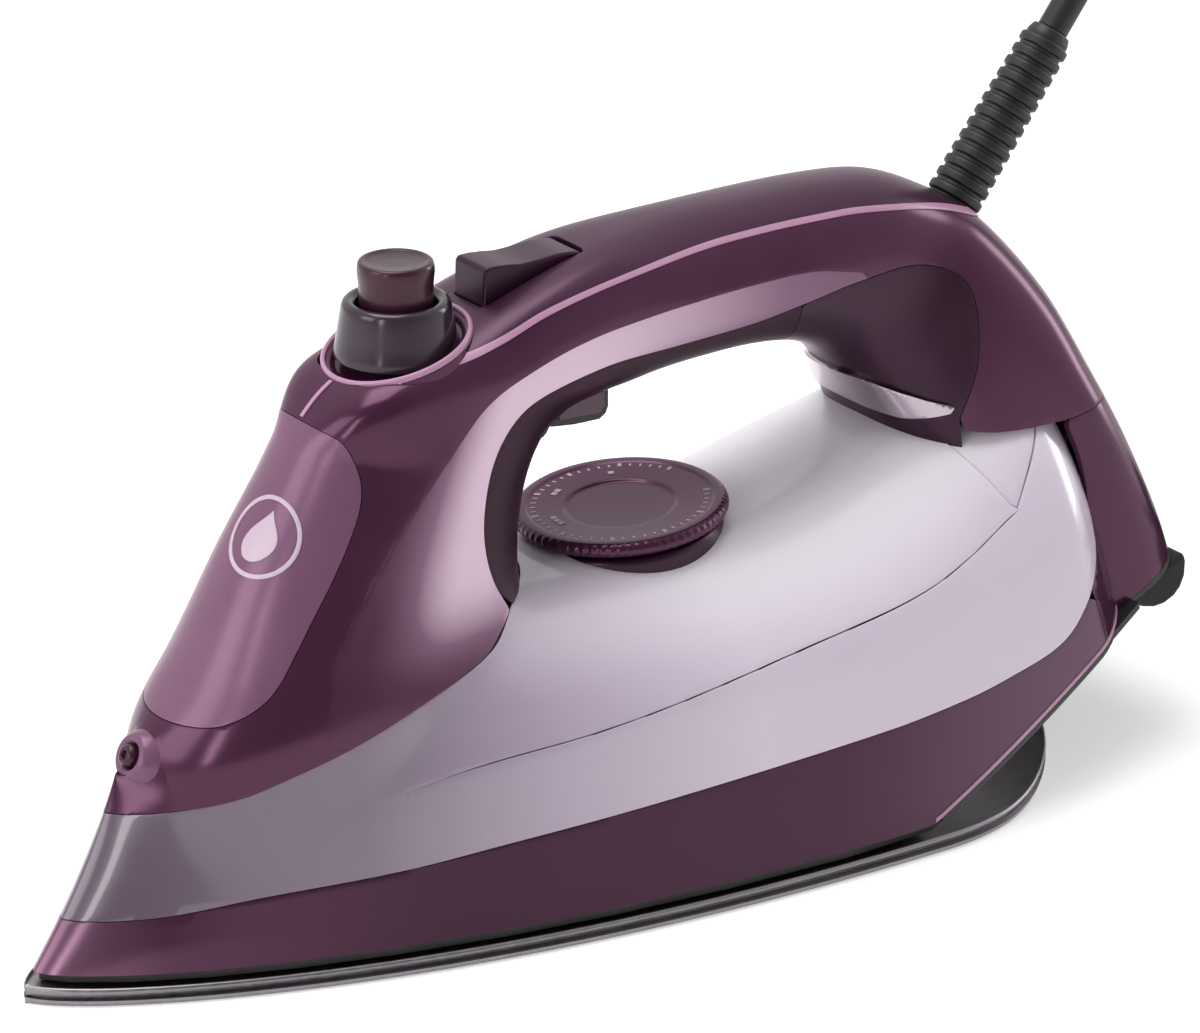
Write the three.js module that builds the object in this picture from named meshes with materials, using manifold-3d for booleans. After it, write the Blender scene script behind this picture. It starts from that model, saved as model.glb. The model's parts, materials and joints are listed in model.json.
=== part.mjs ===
// A full-size steam iron, modelled as the separate pieces it comes apart into.
// Millimetres, +Z up, resting on its soleplate, nose towards -X and heel towards +X.
// A "station" is a distance behind the nose tip; the origin lies under the middle of the length.
// Stations are written for an iron 308 mm long and stretch with its length.
import * as THREE from "three";
import { mergeVertices } from "three/addons/utils/BufferGeometryUtils.js";
import Module from "manifold-3d";

const wasm = await Module();
wasm.setup();

// ---- Driving dimensions -------------------------------------------------------------------
const length = 308; // nose tip to heel
const gap = 0.35; // clearance between neighbouring pieces
const wall = 2.4; // moulded shells

const soleLength = 272;
const soleWidth = 110;
const soleThick = 4.5;
const soleTailLift = 8; // the tail curves up this much
const steamHole = 3; // bore

const castingTop = 15.5; // heater casting, from the sole up
const elementRadius = 4;
const chamberCoverThick = 1.5;
const heatShieldThick = 2.2;
const baseThick = 1.8; // black base cover

const housingBottom = 7; // lower edge of the skirt
const soleProud = 1.5; // the sole stands out this far beyond the housing
const housingHalf = soleWidth / 2 - soleProud; // half-width of the housing at its lower edge
const undersideStart = 212; // behind this station the underside climbs to the heel
const undersideSlope = 0.45;
const deckHeight = 77.5; // saddle under the handle, at the temperature dial

const handleTop = 150.3;
const handleUnder = 115;
const gripHalf = 17.5; // half-width of the handle
const columnHalf = 26; // half-width of the front column at its foot
const heelHalf = 32;

const knobStation = 99.5;
const knobBezel = 133.4; // height of the ring around the steam knob, at the knob's axis
const knobBase = 28; // diameters of the steam knob
const knobRim = 24.4;
const knobTop = 144;
const jetButton = 17.4;
const jetTravel = 3;
const jetTop = 153;

const shotLength = 27; // rocker on top of the handle, hinged at its rear end
const shotWidth = 12;
const shotFront = 118.5;
const triggerFront = 135;
const triggerLength = 16.5;
const triggerWidth = 15;

const dialStation = 160;
const dialDiameter = 50;
const dialThick = 4;
const dialTilt = 5; // degrees, rear edge up
const spindle = 6;

const stemOuter = 7;
const stemBore = 4.2;
const needle = 3.2;

const sleeveLength = 47;
const sleeveBase = 13.6;
const sleeveEnd = 12;
const cordDiameter = 7.5;
const coilTurnRadius = 41; // to the middle of the turns
const coilStack = 3; // turns beside and above each other

const across = 80; // reach of every cutter that runs right across the iron

// ---- Colours ------------------------------------------------------------------------------
const finish = (color, roughness, metalness = 0) =>
  new THREE.MeshStandardMaterial({ color, roughness, metalness });
const aluminium = finish("#a9abae", 0.35, 0.9);
const steel = finish("#b8b9bd", 0.3, 1);
const brass = finish("#b99a55", 0.35, 1);
const plum = finish("#6d4a62", 0.25);
const darkPlum = finish("#4d2f45", 0.3);
const lavender = finish("#b9a8bd", 0.25);
const clearPlum = finish("#8d6484", 0.2);
const softGrip = finish("#33222f", 0.7);
const black = finish("#1b181b", 0.5);
const smoke = finish("#4c474d", 0.25);
const silver = finish("#c9c5cc", 0.2, 0.8);
const white = finish("#d8d5d2", 0.5);
const copper = finish("#b4693c", 0.4, 1);
const green = finish("#2f6b45", 0.5);

// ---- Small tools --------------------------------------------------------------------------
const group = new THREE.Group();
const stretch = length / 308;
const at = (station) => station * stretch - length / 2;
const stationAt = (x) => (x + length / 2) / stretch;
const behindHeel = 330; // a station clear of the heel
// Outline points given as [station, height above the deck].
const aboveDeck = (points) => points.map(([station, rise]) => [station, deckHeight + rise]);
const radians = THREE.MathUtils.degToRad;
const mix = THREE.MathUtils.lerp;

// A closed body from a three.js geometry.
function solid(geometry) {
  const bare = geometry.index ? geometry.clone() : geometry;
  bare.deleteAttribute("normal");
  bare.deleteAttribute("uv");
  const merged = mergeVertices(bare, 1e-4);
  const corners = merged.index.array;
  const kept = [];
  for (let k = 0; k < corners.length; k += 3) {
    const [a, b, c] = [corners[k], corners[k + 1], corners[k + 2]];
    if (a !== b && b !== c && c !== a) kept.push(a, b, c);
  }
  const vertProperties = new Float32Array(merged.attributes.position.array);
  const triVerts = new Uint32Array(kept);
  return new wasm.Manifold(new wasm.Mesh({ numProp: 3, vertProperties, triVerts }));
}

// Adds a named piece to the iron.
function part(name, material, body) {
  const mesh = body.getMesh();
  const geometry = new THREE.BufferGeometry();
  geometry.setAttribute("position", new THREE.BufferAttribute(mesh.vertProperties, 3));
  geometry.setIndex(new THREE.BufferAttribute(mesh.triVerts, 1));
  const piece = new THREE.Mesh(geometry, material);
  piece.name = name;
  group.add(piece);
}

// A smooth function through points [x, y] in order of x, which never swings past them.
function through(points) {
  const slope = (k) => (points[k + 1][1] - points[k][1]) / (points[k + 1][0] - points[k][0]);
  const tangent = (k) => {
    if (k === 0) return slope(0);
    if (k === points.length - 1) return slope(k - 1);
    const [before, after] = [slope(k - 1), slope(k)];
    return before * after <= 0 ? 0 : (2 * before * after) / (before + after);
  };
  return (x) => {
    let k = 0;
    while (k < points.length - 2 && x > points[k + 1][0]) k += 1;
    const width = points[k + 1][0] - points[k][0];
    const t = THREE.MathUtils.clamp((x - points[k][0]) / width, 0, 1);
    const start = (1 + 2 * t) * (1 - t) ** 2 * points[k][1] + t * (1 - t) ** 2 * width * tangent(k);
    const end = t * t * (3 - 2 * t) * points[k + 1][1] + t * t * (t - 1) * width * tangent(k + 1);
    return start + end;
  };
}

// A body that is symmetric about the middle plane, from a grid of [station, height, half-width].
function pillow(grid) {
  const [rows, columns] = [grid.length, grid[0].length];
  const positions = [];
  for (const side of [-1, 1]) {
    for (const row of grid) {
      for (const [station, height, half] of row) positions.push(at(station), side * half, height);
    }
  }
  const left = (i, j) => i * columns + j;
  const right = (i, j) => rows * columns + left(i, j);
  const index = [];
  const quad = (a, b, c, d) => index.push(a, b, c, a, c, d);
  for (let i = 0; i + 1 < rows; i += 1) {
    for (let j = 0; j + 1 < columns; j += 1) {
      quad(left(i, j), left(i + 1, j), left(i + 1, j + 1), left(i, j + 1));
      quad(right(i, j), right(i, j + 1), right(i + 1, j + 1), right(i + 1, j));
    }
    const last = columns - 1;
    quad(left(i, 0), right(i, 0), right(i + 1, 0), left(i + 1, 0));
    quad(left(i, last), left(i + 1, last), right(i + 1, last), right(i, last));
  }
  for (let j = 0; j + 1 < columns; j += 1) {
    const last = rows - 1;
    quad(left(0, j), left(0, j + 1), right(0, j + 1), right(0, j));
    quad(left(last, j), right(last, j), right(last, j + 1), left(last, j + 1));
  }
  const geometry = new THREE.BufferGeometry();
  geometry.setAttribute("position", new THREE.Float32BufferAttribute(positions, 3));
  geometry.setIndex(index);
  return solid(geometry);
}

// A side-view outline of [station, height], run across the iron from y = from to y = to.
function slab(outline, to = across, from = -to) {
  const shape = new THREE.Shape(outline.map(([station, height]) => new THREE.Vector2(at(station), height)));
  const geometry = new THREE.ExtrudeGeometry(shape, { depth: to - from, bevelEnabled: false });
  geometry.rotateX(Math.PI / 2).translate(0, to, 0);
  return solid(geometry);
}

// A narrow slot along a side-view line, right across the iron, which parts two shells.
function slot(line, width = gap) {
  const normals = line.map((_, k) => {
    const [before, after] = [line[Math.max(k - 1, 0)], line[Math.min(k + 1, line.length - 1)]];
    const along = new THREE.Vector2(after[0] - before[0], after[1] - before[1]).normalize();
    return [(-along.y * width) / 2, (along.x * width) / 2];
  });
  const upper = line.map(([station, height], k) => [station + normals[k][0], height + normals[k][1]]);
  const lower = line.map(([station, height], k) => [station - normals[k][0], height - normals[k][1]]);
  return slab([...lower, ...upper.reverse()]);
}

const spot = (station, y, z) => new THREE.Vector3(at(station), y, z);

// A body of revolution whose profile of [radius, distance] starts at a point and runs along an axis.
function turned(profile, origin, axis = new THREE.Vector3(0, 0, 1), sides = 20) {
  const points = profile.map(([radius, along]) => new THREE.Vector2(radius, along));
  const geometry = new THREE.LatheGeometry(points, sides);
  const turn = new THREE.Quaternion().setFromUnitVectors(new THREE.Vector3(0, 1, 0), axis);
  geometry.applyQuaternion(turn).translate(origin.x, origin.y, origin.z);
  return solid(geometry);
}

const rod = (radius, origin, reach, axis, sides) =>
  turned([[0, 0], [radius, 0], [radius, reach], [0, reach]], origin, axis, sides);

const pipe = (inner, outer, origin, reach, axis, sides) =>
  turned([[inner, 0], [outer, 0], [outer, reach], [inner, reach], [inner, 0]], origin, axis, sides);

const crosswise = new THREE.Vector3(0, 1, 0);
const upright = new THREE.Vector3(0, 0, 1);

// A rod of one radius along a smooth curve through points.
function cable(points, radius, steps, sides = 8) {
  const section = new THREE.Shape();
  for (let k = 0; k < sides; k += 1) {
    const angle = (2 * Math.PI * k) / sides;
    const [x, y] = [radius * Math.cos(angle), radius * Math.sin(angle)];
    if (k === 0) section.moveTo(x, y);
    else section.lineTo(x, y);
  }
  const path = new THREE.CatmullRomCurve3(points, false, "centripetal");
  return solid(new THREE.ExtrudeGeometry(section, { steps, bevelEnabled: false, extrudePath: path }));
}

// A box by its centre and sizes.
function block(centre, sizes) {
  const geometry = new THREE.BoxGeometry(...sizes);
  geometry.translate(centre.x, centre.y, centre.z);
  return solid(geometry);
}

// ---- The outer form -----------------------------------------------------------------------
// The housing is a boat of rounded sections, and the handle is a ring of rounded sections that
// stands on it. Both take an inset, so that the same form gives the shells' inner faces.
const fullWidthStation = 215; // where the sole and the housing are widest
const noseSharpness = 0.7;
const housingRear = 296;
const prowRun = 22.5; // the prow leans back this much up to the ridge
const prowTop = 25;
const ridgeRear = 266;
const ridge = through([
  [prowTop, 49], [42, 60], [73, 67], [106, deckHeight - 4], [130, deckHeight - 1.5],
  [dialStation, deckHeight], [185, deckHeight + 2], [200, deckHeight + 4.5],
  [215, deckHeight + 8.5], [230, deckHeight + 12.5], [245, deckHeight + 17], [ridgeRear, deckHeight + 25],
]);
const roundness = 3.5; // of the housing's sections
const fullness = 2.3;

function housing(inset, drop = 0, along = 20, around = 7) {
  const rows = [];
  for (let i = 0; i <= along; i += 1) {
    const u = i / along;
    const spread = u ** 1.6;
    const low = mix(prowTop - prowRun, housingRear, spread);
    const high = mix(prowTop, ridgeRear, spread);
    const row = [];
    for (let j = 0; j <= around; j += 1) {
      const angle = (Math.PI / 2) * (j / around);
      const rise = Math.sin(angle) ** (2 / roundness);
      const prow = mix(prowTop - prowRun, prowTop, rise) + 8 * rise * (1 - rise);
      const station = mix(low, high, rise) + 8 * rise * (1 - rise) * (1 - u) ** 3;
      const height = mix(housingBottom, ridge(high) - inset, rise);
      const behind = Math.min(1, Math.max(0, station - prow) / fullWidthStation);
      const plan = housingHalf * Math.sin((Math.PI / 2) * behind ** noseSharpness);
      const taper = 1 - 0.4 * (Math.max(0, station - 200) / 108) ** 1.6;
      const half = Math.max(0, plan * taper - inset) * Math.cos(angle) ** (2 / fullness);
      row.push([station + inset * 1.6 * (1 - u) ** 2 - inset * 1.2 * u ** 2, height, half]);
    }
    row[around][2] = 0;
    if (drop > 0) row.unshift([row[0][0], housingBottom - drop, row[0][2]]);
    rows.push(row);
  }
  return pillow(rows);
}

// Ring sections: the outer rail, the inner rail and the half-width.
const topAt = (drop) => handleTop - drop;
const underAt = (drop) => handleUnder - drop;
const ringRows = [
  [27, 36, 118, 36, columnHalf - 2],
  [34, 53, 126, 56, columnHalf + 3],
  [43.5, 70, 129, 72, columnHalf],
  [54, 90, 131, 86, columnHalf - 3.5],
  [65, 107, 134, 98, columnHalf - 5.5],
  [74, 121, 139, 106, gripHalf + 2],
  [85, 129.5, 144, underAt(5), gripHalf + 1.7],
  [104, 134.2, 150, underAt(2.5), gripHalf + 1.5],
  [124, topAt(8.7), 157, underAt(1.2), gripHalf + 0.7],
  [145, topAt(2.8), 166, underAt(0.5), gripHalf],
  [168, topAt(0.3), 176, underAt(0), gripHalf],
  [192, topAt(-0.2), 190, underAt(0), gripHalf],
  [214, topAt(0.3), 202, underAt(1.5), gripHalf + 0.5],
  [231, topAt(2.3), 211, underAt(5), gripHalf + 1],
  [245, topAt(8.3), 217, underAt(10.5), gripHalf + 1.5],
  [257, 134, 222, 98, heelHalf - 11],
  [271, 117, 228, 88, heelHalf - 7],
  [282, 97, 236, 76, heelHalf - 3.5],
  [292, 78, 244, 64, heelHalf - 2],
  [301, 58, 252, 52, heelHalf - 1],
  [306, 43, 258, 42, heelHalf],
  [308, 34, 262, 34, heelHalf],
];
const rearRow = 15; // from here down the sections turn from round to squarish
const knobRow = 6.5; // around here the top is a flat platform for the steam knob

function handleRing(inset, along = 30, around = 8) {
  const { smoothstep } = THREE.MathUtils;
  const rail = (a, b) => new THREE.SplineCurve(ringRows.map((row) => new THREE.Vector2(row[a], row[b])));
  const outer = rail(0, 1);
  const inner = rail(2, 3);
  const width = new THREE.SplineCurve(ringRows.map((row, k) => new THREE.Vector2(k, row[4])));
  const rows = [];
  for (let i = 0; i <= along; i += 1) {
    const u = i / along;
    const place = u * (ringRows.length - 1);
    const squarish = smoothstep(place, rearRow - 2, rearRow + 3);
    const platform = smoothstep(place, knobRow - 2, knobRow - 0.5) - smoothstep(place, knobRow + 1, knobRow + 4);
    const a = outer.getPoint(u);
    const b = inner.getPoint(u);
    const reach = a.distanceTo(b) / 2;
    const [shrink, half] = [(reach - inset) / reach, width.getPoint(u).y - inset];
    const row = [];
    for (let j = 0; j <= around; j += 1) {
      const angle = Math.PI * (1 - j / around);
      const flat = Math.cos(angle) > 0 ? platform : 0;
      const c = Math.sign(Math.cos(angle)) * Math.abs(Math.cos(angle)) ** (2 / (2.3 + 0.9 * squarish + 3.2 * flat));
      const w = j % around === 0 ? 0 : half * Math.sin(angle) ** (2 / (2.25 + 0.4 * squarish + 2.2 * flat));
      const k = 0.5 - (c * shrink) / 2;
      row.push([mix(a.x, b.x, k), mix(a.y, b.y, k), w]);
    }
    rows.push(row);
  }
  return pillow(rows);
}

const underside = (station) =>
  housingBottom + undersideSlope * Math.max(0, station - undersideStart);
// The side-view band between two distances under the housing's lower edge.
const underBand = (top, bottom) => slab([
  [-20, housingBottom - bottom], [undersideStart, housingBottom - bottom],
  [behindHeel, underside(behindHeel) - bottom], [behindHeel, underside(behindHeel) - top],
  [undersideStart, housingBottom - top], [-20, housingBottom - top],
]);

const outside = housing(0).add(handleRing(0)).subtract(underBand(0, 80));
const cavity = (inset) => housing(inset, 30, 12, 5).add(handleRing(inset, 20, 6));
const hollow = cavity(wall);
const room = cavity(wall + gap); // the space left inside the shells
const shell = outside.subtract(hollow);

// ---- The sole and what heats it -----------------------------------------------------------
// Half-width of the sole at a station.
function soleHalf(station) {
  if (station > fullWidthStation) {
    const back = (station - fullWidthStation) / (soleLength - fullWidthStation);
    return (soleWidth / 2) * Math.sqrt(Math.max(0, 1 - back * back));
  }
  return (soleWidth / 2) * Math.sin((Math.PI / 2) * (Math.max(0, station) / fullWidthStation) ** noseSharpness);
}

// A flat plate of the sole's outline, drawn in by an inset, between two stations and two heights.
function solePlate(inset, from, to, low, high, steps = 12) {
  const rows = [];
  for (let k = 0; k <= steps; k += 1) {
    const station = mix(from, to, k / steps);
    const half = Math.max(0.5, soleHalf(station) - inset);
    rows.push([[station, low, half], [station, high, half]]);
  }
  return pillow(rows);
}

const tailStart = 232;
const soleLift = (station) =>
  soleTailLift * (Math.max(0, station - tailStart) / (soleLength - tailStart)) ** 2;
const soleEdge = 1.3; // rounding of the lower edge

function makeSoleplate() {
  const steps = 22;
  const rows = [];
  for (let k = 0; k <= steps; k += 1) {
    const station = soleLength * (0.5 - 0.5 * Math.cos((Math.PI * k) / steps));
    const lift = soleLift(station);
    const half = soleHalf(station);
    rows.push([
      [station, lift, Math.max(0, half - soleEdge)],
      [station, lift + soleEdge, half],
      [station, lift + soleThick, half],
    ]);
  }
  let plate = pillow(rows);
  const holeRows = [
    { inset: 9, from: 40, to: 214, step: 21.5 },
    { inset: 21, from: 84, to: 192, step: 26.5 },
  ];
  for (const { inset, from, to, step } of holeRows) {
    for (let station = from; station <= to; station += step) {
      for (const side of [-1, 1]) {
        const y = side * (soleHalf(station) - inset);
        plate = plate.subtract(rod(steamHole / 2, spot(station, y, -1), soleThick + 2, upright, 6));
      }
    }
  }
  return plate;
}
part("soleplate", aluminium, makeSoleplate());

const castingInset = 6;
const screwRadius = 1.5;
const screwHead = 2.8;
const screwPlaces = [[31, 0], [197, -22], [197, 0], [197, 22]];
const clearOfScrews = (body, radius) =>
  screwPlaces.reduce((rest, [station, y]) => rest.subtract(rod(radius, spot(station, y, 0), 40, upright, 10)), body);
const castingFrom = 14;
const castingTo = 204;
const castingBottom = soleThick + gap;
const elementHeight = castingTop - elementRadius;
const elementInset = 15;
const elementRear = castingTo - 3;
const elementSteps = 18;

// The U of the heating element: up one side, round the nose and down the other side.
const elementPath = [];
for (const station of [elementRear, 150, 100, 62]) {
  elementPath.push(spot(station, soleHalf(station) - elementInset, elementHeight));
}
elementPath.push(spot(48, 0, elementHeight));
for (const station of [62, 100, 150, elementRear]) {
  elementPath.push(spot(station, elementInset - soleHalf(station), elementHeight));
}
const chamberInset = elementInset + elementRadius + 4;
const chamber = solePlate(chamberInset, 84, castingTo - 14, castingBottom + 3, castingTop + 1);
part(
  "heater_casting",
  aluminium,
  clearOfScrews(solePlate(castingInset, castingFrom, castingTo, castingBottom, castingTop), screwRadius + gap)
    .subtract(cable(elementPath, elementRadius + gap, elementSteps))
    .subtract(block(spot(elementRear, 0, elementHeight + 4), [8, soleWidth, 7.8]))
    .subtract(chamber)
    .intersect(room),
);
part("heating_element", steel, cable(elementPath, elementRadius, elementSteps));

const coverBottom = castingTop + gap;
const coverTop = coverBottom + chamberCoverThick;
const thermostatRadius = 10;
part(
  "steam_chamber_cover",
  steel,
  clearOfScrews(solePlate(castingInset + 2, castingFrom + 8, castingTo - 2, coverBottom, coverTop), screwRadius + gap)
    .subtract(rod(5, spot(knobStation, 0, coverBottom - 1), 5))
    .intersect(room),
);

// ---- Where the shells part, in side view --------------------------------------------------
const beltLine = [
  [-6, 17.5], [12, 18], [28, 19.2], [48, 22], [81, 24.6], [100, 26.6], [129, 29], [163, 31.6],
  [208, 34.5], [234, 36.4], [256, 40.3], [264, 47.2], [270, 57], [271.5, 66], [270, 77], ...aboveDeck([[266, 10.5]]),
];
const heelSeam = [[265.5, 49], [268, 44], [270, 38], [272, 24]];
const splitLine = aboveDeck([[222, 14.5], [236, 13], [247, 11], [266, 10.5], [286, 12.5], [behindHeel, 18.5]]);
const columnLine = [[10, 40], [23, 40.5], [31, 41.6], [43, 45], [55, 49.5], [74, 56], [86, 60.3], [107, 67.5], [117, 73.5], [125, 75.6], [135, 77]];
const doorTop = [[66, 126], [78, 118.8]]; // leans so that the door swings out past the cover
const stripeLine = [
  ...doorTop, [82, 124.4], [87, 127.3], [92, 128.7], [100, 130.3], [112, 133.9], [125, 138.2], [138, 141.4],
  [153, 143.6], [174, 145.4], [195, 145.6], [217, 144.8], [232, 142.6], [246, 138.8], [262, 132],
];
const doorBottom = 60.6;
const doorLine = [
  [28, doorBottom], [38.8, doorBottom], [47, 66.5], [60, 76.6], [70, 90.3], [75, 102.6], [77, 112], doorTop[1],
];
const columnFoot = [115.5, 73]; // where the side of the front column meets the grip lining
const gripLine = [
  [119, 71], [112, 78.6], [109, 91], [111, 104.6], [115, 113], [122, 119.7], [142, 124], [165, 124],
  [187, 125], [198, 127],
];
const innerFaceLine = [[198, 127], [214, 130], [232, 130], [243, 124], ...aboveDeck([[244, 30.5], [238, 15.5], [236, 8.5]])];
const gripEnd = [[198, 127], ...aboveDeck([[200, 22.5]])];

const seams = [beltLine, heelSeam, splitLine, columnLine, stripeLine, doorLine, gripLine, innerFaceLine, gripEnd]
  .map((line) => slot(line));
const parted = seams.reduce((body, seam) => body.subtract(seam), shell);
const zone = (...lines) => parted.intersect(slab(lines.flat()));
const back = (line) => [...line].reverse();

const deckGap = aboveDeck([[137, 12.5], [205, 16.5]]); // a line through the finger space, clear of every shell

// ---- Things that sit in the shells --------------------------------------------------------
const grown = housing(-gap).add(handleRing(-gap)); // the outer form with a clearance around it
const leaning = (x, z) => new THREE.Vector3(x, 0, z).normalize();

const knobAxis = spot(knobStation, 0, 0);
const knobHub = 6;
const bezelTilt = 16.5; // degrees, nose down
const bezelProud = 1.2;
const knobFoot = 133.6;
const bezelInner = knobBase / 2 + 0.7;
const bezelWidth = 2.8;
const bezelAxis = leaning(-Math.sin(radians(bezelTilt)), Math.cos(radians(bezelTilt)));
const bezelCentre = spot(knobStation, 0, knobBezel);

const nozzleAxis = leaning(-0.9, 0.436);
const nozzleCentre = spot(31, 0, 51);
const nozzleBezel = 5.6;
const nozzleBore = 2.6;
const nozzleDepth = 10;
const alongNozzle = (distance) => nozzleCentre.clone().addScaledVector(nozzleAxis, distance);
const nozzleHole = rod(nozzleBezel + gap, alongNozzle(-nozzleDepth - 1), nozzleDepth + 8, nozzleAxis, 16);

const hingeStation = 39.2; // the filling door's hinge, just inside the skin
const hingeHeight = doorBottom + 0.4;
const hingeBarrel = 1.6;
const hingePin = 0.9;
const barrelHalf = 5;
const hingeNotch = rod(hingeBarrel + gap, spot(hingeStation, -barrelHalf - gap, hingeHeight), 2 * (barrelHalf + gap), crosswise, 12);
const pinHalf = barrelHalf + 1.6;
const pinHole = rod(hingePin + 0.15, spot(hingeStation, -pinHalf - gap, hingeHeight), 2 * (pinHalf + gap), crosswise, 10);

const sleeveAxis = leaning(0.618, 0.786);
const sleeveRoot = spot(252.6, 0, 133.4);
const alongSleeve = (distance) => sleeveRoot.clone().addScaledVector(sleeveAxis, distance);
const sleeveNeck = sleeveEnd / 2 - 0.4;
const sleeveHole = rod(sleeveNeck + gap, alongSleeve(-6), 20, sleeveAxis, 16);
const sleeveStart = 3.4; // from the root to the foot of the ribs, clear of the skin
const sleeveSeat = rod(sleeveBase / 2 + gap, alongSleeve(sleeveStart - gap), 20, sleeveAxis, 20);

// ---- Shells ---------------------------------------------------------------------------------
part(
  "skirt",
  plum,
  zone(beltLine.slice(0, 12), heelSeam.slice(1), [[272, -10], [-6, -10]]),
);

const plinth = dialDiameter / 2 - 2;
const dialAxis = leaning(-Math.sin(radians(dialTilt)), Math.cos(radians(dialTilt)));
const dialFoot = spot(dialStation, 0, deckHeight + 1);
const alongDial = (distance) => dialFoot.clone().addScaledVector(dialAxis, distance);
const thermostatTop = coverTop + gap + 12;
const spindleReach = (dialFoot.z - thermostatTop - 2 * gap) / dialAxis.z;
const spindleFoot = stationAt(alongDial(-spindleReach).x);
part(
  "body_panel",
  lavender,
  zone(beltLine, back(splitLine.slice(0, 4)), back(deckGap), back(columnLine))
    .add(rod(plinth, alongDial(-4.6), 4.6 - gap, dialAxis, 32))
    .subtract(rod(spindle / 2 + gap, alongDial(-10), 20, dialAxis, 16)),
);
part(
  "heel_cover",
  plum,
  zone(back(heelSeam), beltLine.slice(12), splitLine.slice(4), [[behindHeel, 10]]),
);

const doorZone = slab([...doorLine, doorTop[0], [20, 126]]);
part(
  "handle_shell",
  plum,
  zone(columnLine.slice(0, 8), [columnFoot], gripLine.slice(1), innerFaceLine.slice(1, 6), splitLine.slice(3), [[340, 150]], back(stripeLine))
    .subtract(doorZone)
    .subtract(hingeNotch)
    .subtract(pinHole)
    .subtract(nozzleHole)
    .subtract(sleeveHole)
    .subtract(sleeveSeat),
);

const barrelBody = rod(hingeBarrel, spot(hingeStation, -barrelHalf, hingeHeight), 2 * barrelHalf, crosswise, 12);
part(
  "fill_door",
  clearPlum,
  parted.intersect(doorZone).subtract(slab([[20, 50], [60, 50], [60, doorBottom + gap], [20, doorBottom + gap]]))
    .add(barrelBody)
    .subtract(pinHole),
);
part("door_hinge_pin", steel, rod(hingePin, spot(hingeStation, -pinHalf, hingeHeight), 2 * pinHalf, crosswise, 8));

const shotTo = shotFront + shotLength;
const shotSlot = slab([[shotFront - gap, 130], [shotTo + gap, 130], [shotTo + gap, 160], [shotFront - gap, 160]], shotWidth / 2 + gap);
const knobPocket = (radius, bottom) => rod(radius, spot(knobStation, 0, bottom), 40, upright, 28);
const pocketFloor = knobPocket(bezelInner + 1.6, knobFoot - gap - 1.8)
  .intersect(block(knobAxis.clone().setZ(knobFoot), [2 * bezelInner + 6, 2 * bezelInner - 6, 20]));
part(
  "handle_top_cover",
  darkPlum,
  zone(stripeLine, [[300, 160], [60, 175]])
    .add(pocketFloor.intersect(cavity(wall - 0.3)))
    .subtract(knobPocket(bezelInner, knobFoot - gap))
    .subtract(rod(knobHub + gap, spot(knobStation, 0, 115), 40, upright, 20))
    .subtract(shotSlot)
    .subtract(sleeveHole)
    .subtract(sleeveSeat),
);

const triggerTo = triggerFront + triggerLength;
const triggerSlot = slab(
  [[triggerFront - 6, 100], [triggerTo + gap, 100], [triggerTo + gap, 125], [triggerFront - 1 - gap, 125], [triggerFront - 1 - gap, 106]],
  triggerWidth / 2 + gap,
);
part(
  "grip_lining",
  softGrip,
  zone([columnLine[8]], gripLine.slice(1), [gripEnd[1], ...back(deckGap), [135, 77.5], [125, 75.6]]).subtract(triggerSlot),
);
part(
  "rear_inner_cover",
  darkPlum,
  zone(innerFaceLine.slice(0, 6), [splitLine[1], splitLine[0], deckGap[1], gripEnd[1]]),
);

const lensProud = 2.4;
const lensOutline = aboveDeck([[212, 18.5], [222, 15.9], [238, 15.1], [238, 18.1], [222, 19.5], [212, 22.5]]);
part(
  "status_lens",
  silver,
  handleRing(-lensProud).subtract(grown)
    .intersect(slab(lensOutline)),
);

// The black cover that closes the housing from below, with a window for the heater casting.
const terminal = spot(262, 0, 70);
const terminalSize = [24, 30, 15];
const postFoot = underside(262) - gap - 1;
const postTop = terminal.z - terminalSize[2] / 2 - gap;
const post = block(terminal.clone().setZ((postFoot + postTop) / 2), [14, 16, postTop - postFoot]);
part(
  "base_cover",
  black,
  cavity(0.8).intersect(underBand(gap, gap + baseThick))
    .subtract(solePlate(castingInset - 0.6, castingFrom - 6, castingTo + 1, -5, 30))
    .add(post),
);

for (const [name, side] of [["heel_foot_left", -1], ["heel_foot_right", 1]]) {
  const under = (station) => [station, underside(station) - 2 * gap - baseThick];
  const outline = [under(289), [293, 34.6], [299, 33.4], [304.5, 35.5], [308, 41], under(306.5)];
  part(name, black, slab(outline, side * 23.5 + 7.5, side * 23.5 - 7.5));
}

// ---- Heater stack continued ---------------------------------------------------------------
const shieldBottom = coverTop + gap;
const shieldTop = shieldBottom + heatShieldThick;
const valveBody = 4.6;
part(
  "heat_shield",
  black,
  clearOfScrews(solePlate(0, 24, 208, shieldBottom, shieldTop).intersect(room), screwHead + gap)
    .subtract(rod(valveBody + gap, spot(knobStation, 0, 10), 20))
    .subtract(rod(thermostatRadius + gap, spot(spindleFoot, 0, 10), 20)),
);

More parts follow.
